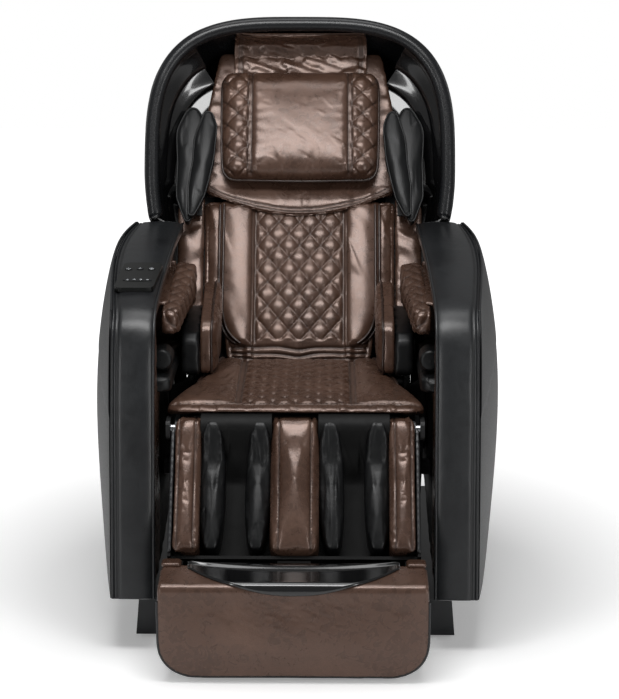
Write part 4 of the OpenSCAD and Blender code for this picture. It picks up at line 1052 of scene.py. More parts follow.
@dataclass
class Hood:
    """Shell over the head: padded rim, satin shell and nested gloss ribs down both cheeks.

    Attributes:
        half: half width over the shell.
        crown: height of the crown along the back.
        rear: depth of the rear behind the hip plane.
        reach_low: forward reach of the lower ends.
        reach_top: forward reach of the crown.
        skin: shell wall.
        roll: half thickness of the padded rim.
    """

    half: float = 0.323
    crown: float = 0.803
    rear: float = 0.0796
    reach_low: float = 0.087
    reach_top: float = 0.187
    skin: float = 0.004
    roll: float = 0.015

    def point(self, u: Array, a: Array, inset: Array | float) -> Array:
        """Places on the hood in the back's space.

        u runs along the rim: |u| <= 1 is a superellipse of power 3.3 over the crown, beyond it
        the cheeks run straight down. a runs from 0 at the rim to 90 degrees at the rear, where
        the section has shrunk to 0.68 of its width.

        Args:
            u: place along the rim, -2 to 2.
            a: angle in degrees.
            inset: distance inside the outer face.
        Returns:
            (..., 3) points.
        """
        power, w = 2 / 3.3, np.abs(u)
        turn = np.radians(90 * np.minimum(w, 1))
        v = np.where(w > 1, 0.26 * (2 - w), 0.26 + 0.74 * np.clip(np.cos(turn), 0, 1) ** power)
        half = self.half - inset
        x = np.sign(u) * np.where(w > 1, half - 0.01 * (w - 1) ** 2, half * np.sin(turn) ** power)
        rad = np.radians(a)
        share = 0.68 + 0.32 * np.clip(np.cos(rad), 0, 1) ** 0.6
        front = -(self.reach_low + (self.reach_top - self.reach_low) * v)
        y = front + (self.rear - inset - front) * np.sin(rad) ** 0.8
        low = np.sqrt(0.4 ** 2 - y ** 2)
        top = 0.48 + (self.crown - inset - 0.48) * share
        return np.stack([x * share, low + (top - low) * v, -y], -1)

    def stations(self, start: float, stop: float, count: int) -> Array:
        """Values of u evenly spaced by length along the rim."""
        t = np.linspace(-1, 1, 1601)
        near = np.where(np.abs(t) < 0.5, 0.5 * (2 * np.abs(t)) ** 2,
            1 - 0.5 * (2 - 2 * np.abs(t)) ** 2)
        dense = np.concatenate([np.linspace(-2, -1.0005, 300), np.sign(t) * near,
            np.linspace(1.0005, 2, 300)])
        path = self.point(dense, np.zeros_like(dense), 0.0)
        s = np.concatenate([[0.0], np.cumsum(np.linalg.norm(np.diff(path, axis=0), axis=1))])
        ends = np.interp([start, stop], dense, s)
        return np.interp(np.linspace(ends[0], ends[1], count), s, dense)

    def shell(self) -> Obj:
        """Smooth shell between the outer and the inner face."""
        u = self.stations(-2, 2, 220)[:, None]
        a = (np.linspace(0, 1, 44) ** 1.15 * 90)[None, :]
        u, a = np.broadcast_arrays(u, a)
        obj = slab("hood_skin", BACK.world(self.point(u, a, 0.0)),
            BACK.world(self.point(u, a, self.skin)))
        return dress(obj, "back", Finish.HOOD, ["hood_shell"])

    def rim(self) -> Obj:
        """Padded roll along the mouth.

        An oval that sits one roll inside the edge, flattened towards the shell, with one sewn
        line behind where the cover folds over.
        """
        u = self.stations(-2, 2, 320)
        edge = self.point(u, np.zeros_like(u), 0.0)
        ahead = unit(np.gradient(edge[:, :2], axis=0))
        inward = np.stack([ahead[:, 1], -ahead[:, 0]], 1)
        inward *= np.sign(-(inward * (edge[:, :2] - [0, 0.45])).sum(1, keepdims=True))
        for _ in range(6):
            inward = unit(np.vstack([inward[:1], inward[:-1]]) + 2 * inward
                + np.vstack([inward[1:], inward[-1:]]))
        a = np.linspace(0, 2 * math.pi, 56, endpoint=False)[None, :]
        swell = 1.0 + 0.02 * waves(u * 1.1, u * 0, 5, 0.5)[:, None]
        dip = 1 - 0.05 * ridge(np.angle(np.exp(1j * (a + 2.3))), 0.08)
        taper = smooth(2 - np.abs(u), 0.0, 0.03)[:, None] * 0.35 + 0.65
        r = self.roll * swell * dip * taper
        flat = edge[:, None, :2] + inward[:, None] * (self.roll - 0.0003 - (r * np.cos(a)))[...,
            None]
        out = edge[:, None, 2] - 0.0027 + 0.9 * r * np.sin(a)
        obj = loft("hood_roll", BACK.world(np.concatenate([flat, out[..., None]], -1)))
        # Painted shade along the sewn line.
        paint(obj, np.broadcast_to((1 - dip) / 0.05, r.shape).ravel().clip(0, 1) * 0.7)
        soften(obj, 1)
        return dress(obj, "back", Finish.HOOD, ["hood_rim"])

    def ribs(self, side: int) -> Obj:
        """Four nested gloss fins that sweep up the cheek behind the rim.

        Across the band the height is a run of rounded saw teeth: a slow rise and a quick fall
        in each fin. The teeth lean towards the rear at the top and draw together at the bottom,
        and the band closes in on the pillow at the crown.
        """
        u = np.sort(side * self.stations(0.4, 1.99, 240))[:, None]
        w = np.linspace(0, 1, 150)[None, :]
        u, w = np.broadcast_arrays(u, w)
        low = smooth(np.abs(u), 0.9, 1.95)
        lean = w + 0.1 * np.sin(2.4 * (np.abs(u) - 0.44)) * (1 - w) * w * 4
        tooth = (lean * 4.0) % 1.0
        fin = np.where(tooth < 0.8, np.sin(0.5 * math.pi * tooth / 0.8) ** 1.3,
            np.cos(0.5 * math.pi * np.clip(tooth - 0.8, 0, None) / 0.2) ** 0.8)
        height = (0.015 - 0.005 * low) * fin * smooth(w, 0.0, 0.03) * smooth(1 - w, 0, 0.02)
        a = 1 + 52 * w
        crown = 1 - 0.8 * smooth(np.abs(u), 0.85, 1.35)
        base = 0.022 + 0.078 * crown * w ** 1.2
        face = self.point(u, a, base + height)
        rear = self.point(u, a, base - 0.0045)
        drop = np.stack([np.zeros_like(w), -0.008 * w, np.zeros_like(w)], -1)
        obj = slab(f"hood_ribs_{tag_of(side)}", BACK.world(face + drop), BACK.world(rear + drop))
        return dress(obj, "back", Finish.GLOSS, [f"hood_trim_{tag_of(side)}"])

    def build(self) -> None:
        """Makes the shell, the rim and both ribs."""
        self.shell()
        self.rim()
        for side in (-1, 1):
            self.ribs(side)
        LOG.info("hood done")


# ---- Backrest ----


def mirrored(points: Sequence[Sequence[float]]) -> list[list[float]]:
    """Closed corner list from its right half, given from the bottom middle to the top middle."""
    return [list(p) for p in points] + [[-p[0], *p[1:]] for p in reversed(points)]


def row(obj_name: str, cover: Cover, flat: Array, finish: Finish, body: str,
        lift: float = 0.0002) -> Obj:
    """Stitches along a path in a cover's face."""
    points, normals = cover.cast(flat, lift)
    return dress(stitches(obj_name, points, normals), body, finish)


@dataclass
class Backrest:
    """Quilted lower cushion, chest flap over it, head strap under the hood."""

    half: float = 0.2
    low: float = 0.076
    top: float = 0.44
    front: float = 0.0755
    rear: float = 0.045
    quilt_half: float = 0.0905
    piping_half: float = 0.158
    diamond: tuple[float, float] = (0.0435, 0.053)

    def piping_x(self, s: Array) -> Array:
        """Half distance between the piping lines: a quarter ellipse brings them in at the seat."""
        share = np.clip((s - 0.118) / 0.085, 0, 1)
        return 0.104 + (self.piping_half - 0.104) * np.sqrt(1 - (1 - share) ** 2)

    def cushion_relief(self, x: Array, s: Array, d: Array) -> Pair:
        """Quilted middle, plain strips, gathered outer covers and pleats over the seat."""
        w = np.abs(x)
        puff, dark = quilting(x, s - 0.0175, *self.diamond, 0.0072, 0.32)
        inside = smooth(self.quilt_half - w, 0.0, 0.006) * smooth(s, 0.126, 0.134)
        line_in, dark_in = seam(w - self.quilt_half, 0.004, 0.0022)
        line_b, dark_b = seam(w - self.quilt_half - 0.0065, 0.003, 0.0018)
        edge = self.piping_x(s)
        above = smooth(s, 0.118, 0.13)
        outside = smooth(w - edge, 0.0, 0.012)
        strip = 0.0045 * np.sin(math.pi * np.clip((w - 0.097) / (edge - 0.097), 0, 1)) * (1
            - outside)
        gather = folds(w - edge, s, 31, 0.03, 0.034, 0.0014) * outside * (1 - smooth(s, 0.22, 0.36))
        pleat = np.zeros_like(x)
        pleat_dark = np.zeros_like(x)
        for k, level in enumerate((0.088, 0.101, 0.1145)):
            drop, dark_p = seam(s - level + 0.007 * ridge(x, 0.03) - 0.003
                * waves(x, s, 40 + k, 0.16), 0.005, 0.0036)
            pleat, pleat_dark = pleat + drop, pleat_dark + dark_p
        height = (inside * puff + above * (line_in + line_b + strip) + gather
                  - 0.006 * outside + (1 - above) * pleat + 0.0009 * waves(x, s, 3, 0.11, 5))
        # The second value is painted shade in the quilting valleys, the seams and the pleats.
        dark = inside * dark + above * (dark_in + 0.7 * dark_b) + (1 - above) * pleat_dark
        return height, np.clip(dark, 0, 1)

    def cushion(self) -> None:
        """Lower backrest cushion with its piping and stitches."""
        outline = corner_path(mirrored([[0.147, self.low, 0.03], [0.158, 0.15, 0.02],
            [self.half, 0.197, 0.03], [self.half, self.top, 0.01]]))
        pad = Pad("back_cushion", BACK, outline, self.front - 0.003, self.rear, 0.01, 0.004, 0.0045,
                  0.004, self.cushion_relief, lambda x,
                  s: ridge(np.abs(x) - self.quilt_half, 0.004))
        obj = dress(pad.build(), "back", Finish.BROWN, ["back_pad"])
        cover = Cover(obj, BACK)
        s = np.linspace(0.122, 0.425, 60)
        for side, name in SIDES:
            for k, shift in enumerate((-0.001, 0.0065)):
                flat = np.column_stack([side * (self.piping_x(s) + shift), s])
                points, normals = cover.cast(flat, 0.0016)
                dress(tube(f"back_piping_{name}_{k}", points, normals, 0.0027), "back",
                      Finish.PIPING)
            for k, shift in enumerate((-0.0022, 0.0087)):
                flat = np.column_stack([np.full_like(s, side * (self.quilt_half + shift)), s])
                row(f"back_stitches_{name}_{k}", cover, flat, Finish.THREAD, "back")

    def flap_edge(self, x: Array) -> Array:
        """Height of the flap's curved lower edge: 0.399 in the middle, 0.451 at the sides."""
        return 0.399 + 0.052 * (np.abs(x) / 0.192) ** 2.0

    def flap_relief(self, x: Array, s: Array, d: Array) -> Pair:
        """Hem, soft upright folds from under the pillow and gathers at the sides."""
        hem = s - self.flap_edge(x)
        one, dark_one = seam(hem - 0.009, 0.002, 0.0018)
        two, dark_two = seam(hem - 0.016, 0.0016, 0.0016)
        under = smooth(0.5 - s, -0.02, 0.06)
        upright = 0.0014 * under * waves(x * 1.0, s * 0.2, 11, 0.085, 5, 2.6)
        side = smooth(np.abs(x), 0.16, 0.186)
        cheek = 0.0011 * side * waves(x * 0.5, s * 1.2, 12, 0.075, 5)
        roll = -0.0035 * (1 - smooth(hem, 0.0, 0.006))
        # The second value is painted shade in the two hem seams.
        return (one + two + upright + cheek + roll + 0.0002 * waves(x, s, 13, 0.05),
                np.clip(dark_one + dark_two, 0, 1))

    def flap(self) -> None:
        """Chest flap that hangs over the cushion, up to the pillow's hinge."""
        x = np.linspace(-0.192, 0.192, 60)
        low = np.column_stack([x, self.flap_edge(x)])
        upper = corner_path([[0.196, 0.455, 0], [0.2015, 0.61, 0.08], [0.172, 0.772, 0.012],
            [-0.172, 0.772, 0.012], [-0.2015, 0.61, 0.08], [-0.196, 0.455, 0]], False)
        pad = Pad("chest_flap", BACK, np.vstack([low, upper]),
                  lambda x, s: 0.0845 - 0.0065 * smooth(s, 0.43, 0.47),
                  lambda x, s: 0.0775 - 0.032 * smooth(s, 0.441, 0.452),
                  0.005, 0.0, 0.0045, 0.0, self.flap_relief)
        obj = dress(pad.build(), "back", Finish.BROWN, ["back_flap"])
        cover = Cover(obj, BACK)
        x = np.linspace(-0.186, 0.186, 120)
        for k, rise in enumerate((0.009, 0.016)):
            row(f"flap_stitches_{k}", cover, np.column_stack([x, self.flap_edge(x) + rise]),
                Finish.THREAD, "back")

    def side_cover(self, side: int) -> None:
        """Loose cover beside the cushion, with folds that run out from its edge."""
        def pulled(x: Array, s: Array, d: Array) -> Pair:
            """Folds that fan out from the cushion's edge."""
            fan = s + 0.5 * (np.abs(x) - self.half)
            return 0.0022 * waves(x * 0.5, fan, 33, 0.075, 5), np.zeros_like(x)

        name = "left" if side < 0 else "right"
        pad = Pad(f"back_side_{name}", BACK, corner_path([
            [side * 0.1985, 0.197, 0.006], [side * 0.2245, 0.197, 0.01],
            [side * 0.225, 0.262, 0.02], [side * 0.2545, 0.292, 0.03], [side * 0.2545, 0.44, 0.02],
            [side * 0.1985, 0.452, 0.006]]), 0.06, self.rear, 0.008, 0.002, 0.004, 0.0, pulled)
        dress(pad.build(), "back", Finish.BROWN, ["back_pad"])

    def strap(self) -> None:
        """Wide soft strap from behind the pillow to the hood's ceiling.

        A sheet 5 mm thick along a curve in the side view, with diagonal folds, double stitched
        near both side edges.
        """
        side_view = resample(corner_path([[0.69, 0.0835, 0], [0.758, 0.084, 0.02],
            [0.786, 0.1, 0.018], [0.786, 0.135, 0.02], [0.774, 0.166, 0]], False), 70)
        t = np.linspace(-1, 1, 110)[None, :]
        s0, d0 = side_view[:, :1], side_view[:, 1:]
        along = np.linspace(0, 0.13, 70)[:, None]
        half = 0.137 + 0.004 * np.sin(along * 30)
        x = t * half
        out = unit(np.gradient(side_view, axis=0))
        n_s, n_d = -out[:, 1:], out[:, :1]
        flip = np.sign(n_d.sum()) or 1.0
        n_s, n_d = n_s * flip, n_d * flip
        rise = (0.0022 * waves(x * 0.8 + along, along * 1.3 - x * 0.5, 21, 0.06, 6)
                + 0.004 * (1 - t ** 2) - 0.0018 * ridge(np.abs(x) - half + 0.01, 0.002)
                - 0.0014 * ridge(np.abs(x) - half + 0.016, 0.002))
        rise = rise * smooth(1 - np.abs(t), 0.0, 0.05) ** 0.5
        face = np.stack([x + 0 * s0, s0 + n_s * (0.003 + rise), d0 + n_d * (0.003 + rise)], -1)
        rear = np.stack([x + 0 * s0, s0 - n_s * 0.0015 + 0 * x, d0 - n_d * 0.0015 + 0 * x], -1)
        obj = slab("head_strap", BACK.world(face), BACK.world(rear))
        # Painted shade along the double stitch lines.
        paint(obj, np.concatenate([np.clip(ridge(np.abs(x) - half + 0.01, 0.002)
            + ridge(np.abs(x) - half + 0.016, 0.002), 0, 1) * 0.7, np.zeros_like(x)], 1).ravel())
        dress(obj, "back", Finish.BROWN, ())

    def build(self) -> None:
        """Makes the whole backrest."""
        self.cushion()
        for side in (-1, 1):
            self.side_cover(side)
        self.flap()
        self.strap()
        LOG.info("backrest done")


@dataclass
class HeadPillow:
    """Head pillow: plain middle between double seams, large diamonds at the sides."""

    half: float = 0.164
    low: float = 0.47
    top: float = 0.714
    rear: float = 0.0808
    front: float = 0.134
    seam_half: float = 0.101
    diamond: tuple[float, float] = (0.048, 0.0475)

    def relief(self, x: Array, s: Array, d: Array) -> Pair:
        """Side diamonds, double seams and creases under the middle."""
        w = np.abs(x)
        puff, dark = quilting(w - self.seam_half - 0.006, s - self.low - 0.02, *self.diamond,
            0.0078, 0.32)
        outer = smooth(w, self.seam_half + 0.004, self.seam_half + 0.01)
        line_a, dark_a = seam(w - self.seam_half, 0.0055, 0.0024)
        line_b, dark_b = seam(w - self.seam_half - 0.0062, 0.004, 0.002)
        low = smooth(0.56 - s, 0.0, 0.06) * (1 - outer)
        crease = 0.0008 * low * waves(x * 1.4, s * 0.5, 52, 0.055, 6)
        pull = folds(w - self.seam_half, s, 53, 0.018, 0.024, 0.0004) * (1 - outer)
        # The second value is painted shade in the side quilting and the double seams.
        return (outer * puff + line_a + line_b + crease + pull + 0.0002 * waves(x, s, 54, 0.05),
                np.clip(outer * dark + dark_a + 0.8 * dark_b, 0, 1))

    def build(self) -> None:
        """Pillow, edge piping and the seams' stitches."""
        outline = corner_path(mirrored([[self.half - 0.004, self.low, 0.026],
            [self.half, self.top, 0.026]]))
        bow = np.sin(math.pi * np.clip((outline[:, 1] - self.low) / (self.top - self.low), 0, 1))
        outline[:, 0] *= 1 - 0.012 * bow
        pad = Pad("head_pillow", BACK, outline, lambda x,
            s: self.front - 0.01 * smooth(s, 0.66, 0.714),
                  self.rear, 0.026, 0.007, 0.0045, 0.006, self.relief,
                  lambda x, s: ridge(np.abs(x) - self.seam_half - 0.003, 0.004))
        obj = dress(pad.build(), "pillow", Finish.BROWN, ["pillow"])
        cover = Cover(obj, BACK)
        path, normals = cover.nearest(edge_path(pad, 0.0, 0.03), 0.0012)
        dress(tube("pillow_piping", path, normals, 0.0028, True), "pillow", Finish.PIPING)
        s = np.linspace(self.low + 0.012, self.top - 0.012, 60)
        for side, name in SIDES:
            for k, shift in enumerate((-0.0028, 0.0092)):
                flat = np.column_stack([np.full_like(s, side * (self.seam_half + shift)), s])
                row(f"pillow_stitches_{name}_{k}", cover, flat, Finish.THREAD, "pillow")
        LOG.info("pillow done")


@dataclass
class ShoulderPad:
    """Two overlapping leaf petals of black leather beside the chest, with piping."""

    side: int

    def petal(self, name: str, corners: Sequence[Sequence[float]], front: float, rear: float,
              seed: int) -> None:
        """One leaf: crowned along its length, creased across, piped round the edge."""
        outline = corner_path([[self.side * x, s, r] for x, s, r in corners], True, 14)
        mid = np.mean([c[0] for c in corners]) * self.side

        def relief(x: Array, s: Array, d: Array) -> Pair:
            """Long soft spine with shallow creases along it."""
            spine = 0.0012 * ridge(x - mid, 0.03)
            crease = 0.0007 * waves(x * 1.6, s * 0.35, seed, 0.04, 6)
            return spine + crease, np.zeros_like(x)

        pad = Pad(name, BACK, outline, front, rear, 0.009, 0.005, 0.004, 0.0, relief)
        body = f"shoulder_{tag_of(self.side)}"
        node = f"shoulder_pad_{tag_of(self.side)}"
        obj = dress(pad.build(), body, Finish.BLACK, [node])
        path, normals = Cover(obj, BACK).nearest(edge_path(pad, 0.003, 0.003), 0.0006)
        dress(tube(name + "_piping", path, normals, 0.002, True), body, Finish.BLACK)

    def build(self) -> None:
        """Outer petal behind, inner petal in front."""
        tag = tag_of(self.side)
        self.petal(f"shoulder_outer_{tag}", [[0.231, 0.362, 0.006], [0.256, 0.43, 0.06],
            [0.258, 0.585, 0.07], [0.226, 0.647, 0.014], [0.198, 0.6, 0.05], [0.203, 0.45, 0.12]],
                   0.11, 0.083, 61)
        self.petal(f"shoulder_inner_{tag}", [[0.229, 0.364, 0.006], [0.23, 0.45, 0.06],
            [0.219, 0.56, 0.08], [0.193, 0.64, 0.01], [0.1735, 0.585, 0.05], [0.179, 0.5, 0.08],
            [0.2, 0.42, 0.06]], 0.1215, 0.099, 62)


# ---- Arms ----


@dataclass
class Arm:
    """One armrest: bulged side panel, leather band round its open edge, padded trough inside.

    Attributes:
        side: -1 for the viewer's left, 1 for the right.
        low: height of the panel's lower edge.
        high: height of the panel's top at the rear.
        front_low: place of the front edge at the bottom, from the hip.
        rear_r: radius of the rear edge about the hip.
        edge_half: half width at the open edge.
    """

    side: int
    low: float = 0.102
    high: float = 0.696
    front_low: float = -0.57
    rear_r: float = 0.3925
    edge_half: float = 0.34
    skin: float = 0.005

    @property
    def tag(self) -> str:
        """Name ending of this side."""
        return tag_of(self.side)

    def heights(self, p: Array, q: Array) -> Array:
        """Height between a low edge rising to the rear and a top edge falling to the front."""
        low = self.low + 0.146 * np.clip(p, 0, None) ** 3
        high = self.high - 0.062 * (1 - p) ** 2 - 0.01 * (1 - p) ** 12
        return low + (high - low) * q

    def edge_y(self, p: Array, z: Array) -> Array:
        """Place from front to rear at a height: the front edge leans back and tucks in at the
        top as t^7, the rear edge is an arc about the hip."""
        rise = np.clip(z - self.low, 0, None)
        front = self.front_low + (z - self.low) * 0.058 / 0.56 + 0.07 * (rise / 0.56) ** 7
        rear = np.sqrt(self.rear_r ** 2 - (z - HIP[2]) ** 2) - 0.075 * np.clip(
            1 - (z - 0.24) / 0.17, 0, None) ** 3
        return front + (rear - front) * p

    def swell(self, p: Array, q: Array) -> Array:
        """Half width: the edge's 340 mm plus a bulge of 60 mm in the middle."""
        across, up = np.sin(math.pi * p), np.sin(math.pi * q)
        return self.edge_half + 0.02 * across + 0.04 * np.clip(across * up, 0, None) ** 0.8

    def surface(self, p: Array, q: Array, inset: Array | float = 0.0) -> Array:
        """Points of the outer face in the row frame."""
        p, q = np.broadcast_arrays(p, q)
        z = self.heights(p, q)
        return np.stack([self.side * (self.swell(p, q) - inset), HIP[1] + self.edge_y(p, z), z], -1)

    def panel(self) -> None:
        """Side panel with a diagonal joint line across its front and a shadow line inside it."""
        p = (0.5 - 0.5 * np.cos(np.linspace(0, math.pi, 120)))[:, None]
        q = (0.5 - 0.5 * np.cos(np.linspace(0, math.pi, 110)))[None, :]
        p, q = np.broadcast_arrays(p, q)
        face = self.surface(p, q)
        y, z = face[..., 1] - HIP[1], face[..., 2]
        line = z - (0.43 + 0.3 * (y + 0.56) - 0.24 * (y + 0.56) ** 2)
        reach = smooth(-y, -0.3, -0.22)
        cut = ridge(line, 0.0022) * reach
        lower = smooth(-line, -0.002, 0.004) * reach * 0.0012
        face = self.surface(p, q, 0.0016 * cut + lower)
        obj = slab(f"arm_side_{self.tag}", face, self.surface(p, q, self.skin))
        # The joint line is darkened with painted shade.
        paint(obj, np.concatenate([cut, np.zeros_like(cut)], 1).ravel())
        dress(obj, "seat", Finish.PANEL, [f"arm_shell_{self.tag}"])

    def band_path(self) -> tuple[Array, Array, Array, Array]:
        """Centre line of the open edge from the bottom front over the top to the rear.

        Returns:
            Share p along the arm, (n, 2) y and z, unit outward normals in the side view, and
            half gaps of the inner edge.
        """
        up = np.linspace(0, 0.98, 500)
        back = np.linspace(0, 0.965, 500)[1:]
        p = np.concatenate([np.zeros_like(up), back])
        q = np.concatenate([up, np.full_like(back, 0.98)])
        z = self.heights(p, q)
        yz = np.column_stack([self.edge_y(p, z), z])
        both = resample(np.column_stack([yz * 1.0, p * 1e-6]), 400)
        yz, p = both[:, :2], both[:, 2] * 1e6
        kernel = np.hanning(61) / np.hanning(61).sum()
        soft = np.column_stack([np.convolve(np.pad(yz[:, k], 30, "reflect", reflect_type="odd"),
            kernel, "valid") for k in range(2)])
        ahead = unit(np.gradient(soft, axis=0))
        return p, soft, np.column_stack([-ahead[:, 1], ahead[:, 0]]), 0.257 - 0.016 * p

    def band(self) -> None:
        """Padded leather band: a rounded bar with a crowned face, one seam and piped edges."""
        p, yz, out, inner = self.band_path()
        outer = self.edge_half + 0.02 * np.sin(math.pi * p) - self.skin - 0.0005
        a = np.linspace(0, 2 * math.pi, 64, endpoint=False)
        power = 0.3
        sx = np.sign(np.cos(a)) * np.abs(np.cos(a)) ** np.where(np.cos(a) < 0, 0.5, power)
        sn = np.sign(np.sin(a)) * np.abs(np.sin(a)) ** (power * 1.6)
        mid, half = (inner + outer) / 2, (outer - inner) / 2
        x = mid[:, None] + half[:, None] * sx[None]
        top = np.clip(sn, 0, 1)[None]
        rel = (x - mid[:, None]) / half[:, None]
        along = np.concatenate([[0], np.cumsum(np.linalg.norm(np.diff(yz, axis=0), axis=1))])[:,
            None]
        line = ridge(np.abs(x - outer[:, None]) - 0.01, 0.0016)
        n = (-0.006 + 0.012 * sn[None] + top * (0.003 * (1 - rel ** 2) + 0.0004 * waves(
            x * 1.2, along * 0.4, 71 + self.side, 0.08, 5) - 0.0022 * line))
        world = np.stack([self.side * x, HIP[1] + yz[:, :1] + out[:, :1] * n,
            yz[:, 1:] + out[:, 1:] * n], -1)
        obj = loft(f"arm_band_cover_{self.tag}", world)
        # Painted shade along the seam near the outer edge.
        paint(obj, (line * top).ravel())
        dress(obj, "seat", Finish.BAND, [f"arm_band_{self.tag}"])
        up = np.column_stack([np.zeros(len(out)), out])
        for name, edge, finish in (("inner", inner + 0.0015, Finish.BAND),
                ("outer", outer - 0.001, Finish.BAND)):
            path = np.column_stack([self.side * edge, HIP[1] + yz[:, 0] + out[:, 0] * 0.0035,
                yz[:, 1] + out[:, 1] * 0.0035])
            dress(tube(f"arm_piping_{name}_{self.tag}", path, up, 0.003), "seat", finish)

    def walls(self) -> None:
        """Lining inside the band: brown behind the front edge, near-black painted shade beyond,
        open at the trough.

        Each sheet is y = mix(front(z), rear(z), a), z = mix(low(y), high(y), b).
        """
        p = np.linspace(0, 1, 80)
        high_z, low_z = self.heights(p, 1.0), self.heights(p, 0.0)
        high_y, low_y = self.edge_y(p, high_z), self.edge_y(p, low_z)
        inset, floor, roof = 0.02, 0.47, 0.608
        edge = lambda z: self.edge_y(0.0, z) + inset
        rear = lambda z: self.edge_y(1.0, z) - inset
        top = lambda y: np.interp(y, high_y, high_z) - 1.3 * inset
        low = lambda y: np.interp(y, low_y, low_z) + inset
        level = lambda value: lambda other: np.full_like(other, value)
        sheets = {"front": (edge, lambda z: edge(z) + 0.13, low, level(floor), Finish.BROWN),
                  "low": (lambda z: edge(z) + 0.13, rear, low, level(floor), Finish.WELL),
                  "edge": (edge, level(-0.445), level(floor), level(roof), Finish.BROWN),
                  "roof": (level(-0.452), level(0.025), level(roof), top, Finish.BROWN),
                  "rear": (level(0.025), rear, level(floor), top, Finish.WELL)}
        a, b = np.meshgrid(np.linspace(0, 1, 40), np.linspace(0, 1, 40), indexing="ij")
        for name, (start, stop, under, over, finish) in sheets.items():
            z = np.full_like(a, 0.5)
            for _ in range(6):
                y = start(z) + (stop(z) - start(z)) * a
                z = under(y) + (np.maximum(over(y), under(y) + 0.001) - under(y)) * b
            x = self.side * (0.258 - 0.001 * waves(y, z, 85, 0.07))
            obj = slab(f"arm_wall_{name}_{self.tag}", np.stack([x, HIP[1] + y, z], -1),
                       np.stack([x + self.side * 0.0035, HIP[1] + y, z], -1))
            dress(obj, "seat", finish)

    def trough(self) -> None:
        """Lining, roof, quilted hanging pad, floor cushion and round hand pad."""
        space = flank(self.side)

        def diamonds(u: Array, v: Array, d: Array) -> Pair:
            """Small diamonds over the whole pad."""
            # The second value is painted shade in the quilting valleys.
            return quilting(u, v + 0.9 * (d + 0.21) - 0.13 * u, 0.046, 0.04, 0.0055, 0.34)

        def creased(u: Array, v: Array, d: Array) -> Pair:
            """Soft creases."""
            return 0.0014 * waves(u * 0.8, v * 1.4, 81, 0.05, 6), np.zeros_like(u)

        quilt = Pad(f"arm_quilt_{self.tag}", space, corner_path([
            [-0.372, 0.553, 0.016], [-0.362, 0.6, 0.018], [-0.04, 0.64, 0.024],
            [-0.015, 0.6, 0.024], [-0.06, 0.562, 0.018]]),
            lambda u, v: -0.206 - 0.015 * smooth(-u, 0.05, 0.36),
            lambda u, v: -0.246 - 0.008 * smooth(-u, 0.05, 0.36), 0.014, 0.003, 0.0045,
            0.0, diamonds, facing=-0.45)
        dress(quilt.build(), "seat", Finish.BROWN, [f"arm_pad_{self.tag}"])
        lining = Pad(f"arm_lining_{self.tag}", space, corner_path([
            [-0.47, 0.452, 0.012], [-0.455, 0.586, 0.012], [-0.34, 0.608, 0.012],
            [0.02, 0.624, 0.012], [0.06, 0.452, 0.012]]),
            -0.3115, -0.3195, 0.004, 0.0, 0.006, 0.0, creased)
        dress(lining.build(), "seat", Finish.BROWN, ())

        def rough_floor(x: Array, y: Array, z: Array) -> Pair:
            """Shallow creases along the trough."""
            return 0.0012 * waves(x, y * 0.6, 83, 0.04), np.zeros_like(x)

        roof_z = lambda x, y: 0.6115 + 0.012 * (y + 0.33) / 0.33
        for name, face, (near, far), corners, sizes, relief, finish, fill in (
                ("arm_roof", PLAN, (0.2405, 0.3125), ((-0.328, 0.01), (-0.002, 0.01)),
                 (roof_z, 0.6045, 0.004, 0.0, 0.005), None, Finish.BROWN, 0.3),
                ("arm_floor", PLAN, (0.2325, 0.3125), ((-0.428, 0.02), (0.018, 0.02)),
                 (0.4855, 0.4565, 0.012, 0.004, 0.005), rough_floor, Finish.BLACK, 0.6),
                ("arm_end", FRONT, (0.247, 0.315), ((0.474, 0.008), (0.634, 0.008)),
                 (-0.01, -0.018, 0.004, 0.0, 0.006), None, Finish.BROWN, 0.2),
                # seat_skirt and seat_closing are near-black sheets of painted shade.
                ("seat_skirt", FRONT, (0.2035, 0.2565), ((0.29, 0.006), (0.445, 0.006)),
                 (0.204, 0.199, 0.002, 0.0, 0.006), None, Finish.WELL, 0.2),
                ("seat_closing", FRONT, (0.2275, 0.2565), ((0.25, 0.006), (0.55, 0.006)),
                 (0.034, 0.027, 0.002, 0.0, 0.006), None, Finish.WELL, 0.2)):
            near, far = sorted((self.side * near, self.side * far))
            (low, r), (high, _) = corners
            edge_r = 0.012 if name == "arm_floor" else r
            top_near = 0.416 if name == "seat_skirt" else high
            pad = Pad(f"{name}_{self.tag}", face, corner_path([
                [near, low, r], [far, low, edge_r], [far, high, edge_r], [near, top_near, r]]),
                *sizes, 0.0, relief)
            dress(pad.build(), "seat", finish, ())
        self.hand_pad()

    def hand_pad(self) -> None:
        """Round padded hand stop: a drum with a soft plain face and one ringed seam."""
        t = np.array([0.0, 0.3, 0.6, 0.8, 0.92, 1.0, 1.0, 1.0, 0.96, 0.99, 1.0, 1.0, 0.97, 0.8,
            0.3])
        f = np.array([-0.0034, -0.0033, -0.003, -0.0022, -0.0004, 0.004, 0.008,
            0.014, 0.0165, 0.019, 0.026, 0.055, 0.062, 0.0645, 0.0645])
        a = np.linspace(0, 2 * math.pi, 64, endpoint=False)
        r = 0.0205 * np.maximum(t, 0.02)[:, None]
        ring = np.stack([self.side * 0.252 + r * np.cos(a),
            np.broadcast_to(HIP[1] - 0.397 + f[:, None], (len(t), 64)), 0.5125 + r * np.sin(a)], -1)
        obj = soften(loft(f"hand_pad_{self.tag}", ring), 2)
        dress(obj, "seat", Finish.BLACK, ())

    def build(self) -> None:
        """Makes the armrest."""
        self.panel()
        self.band()
        self.walls()
        self.trough()
        LOG.info("arm %s done", self.tag)


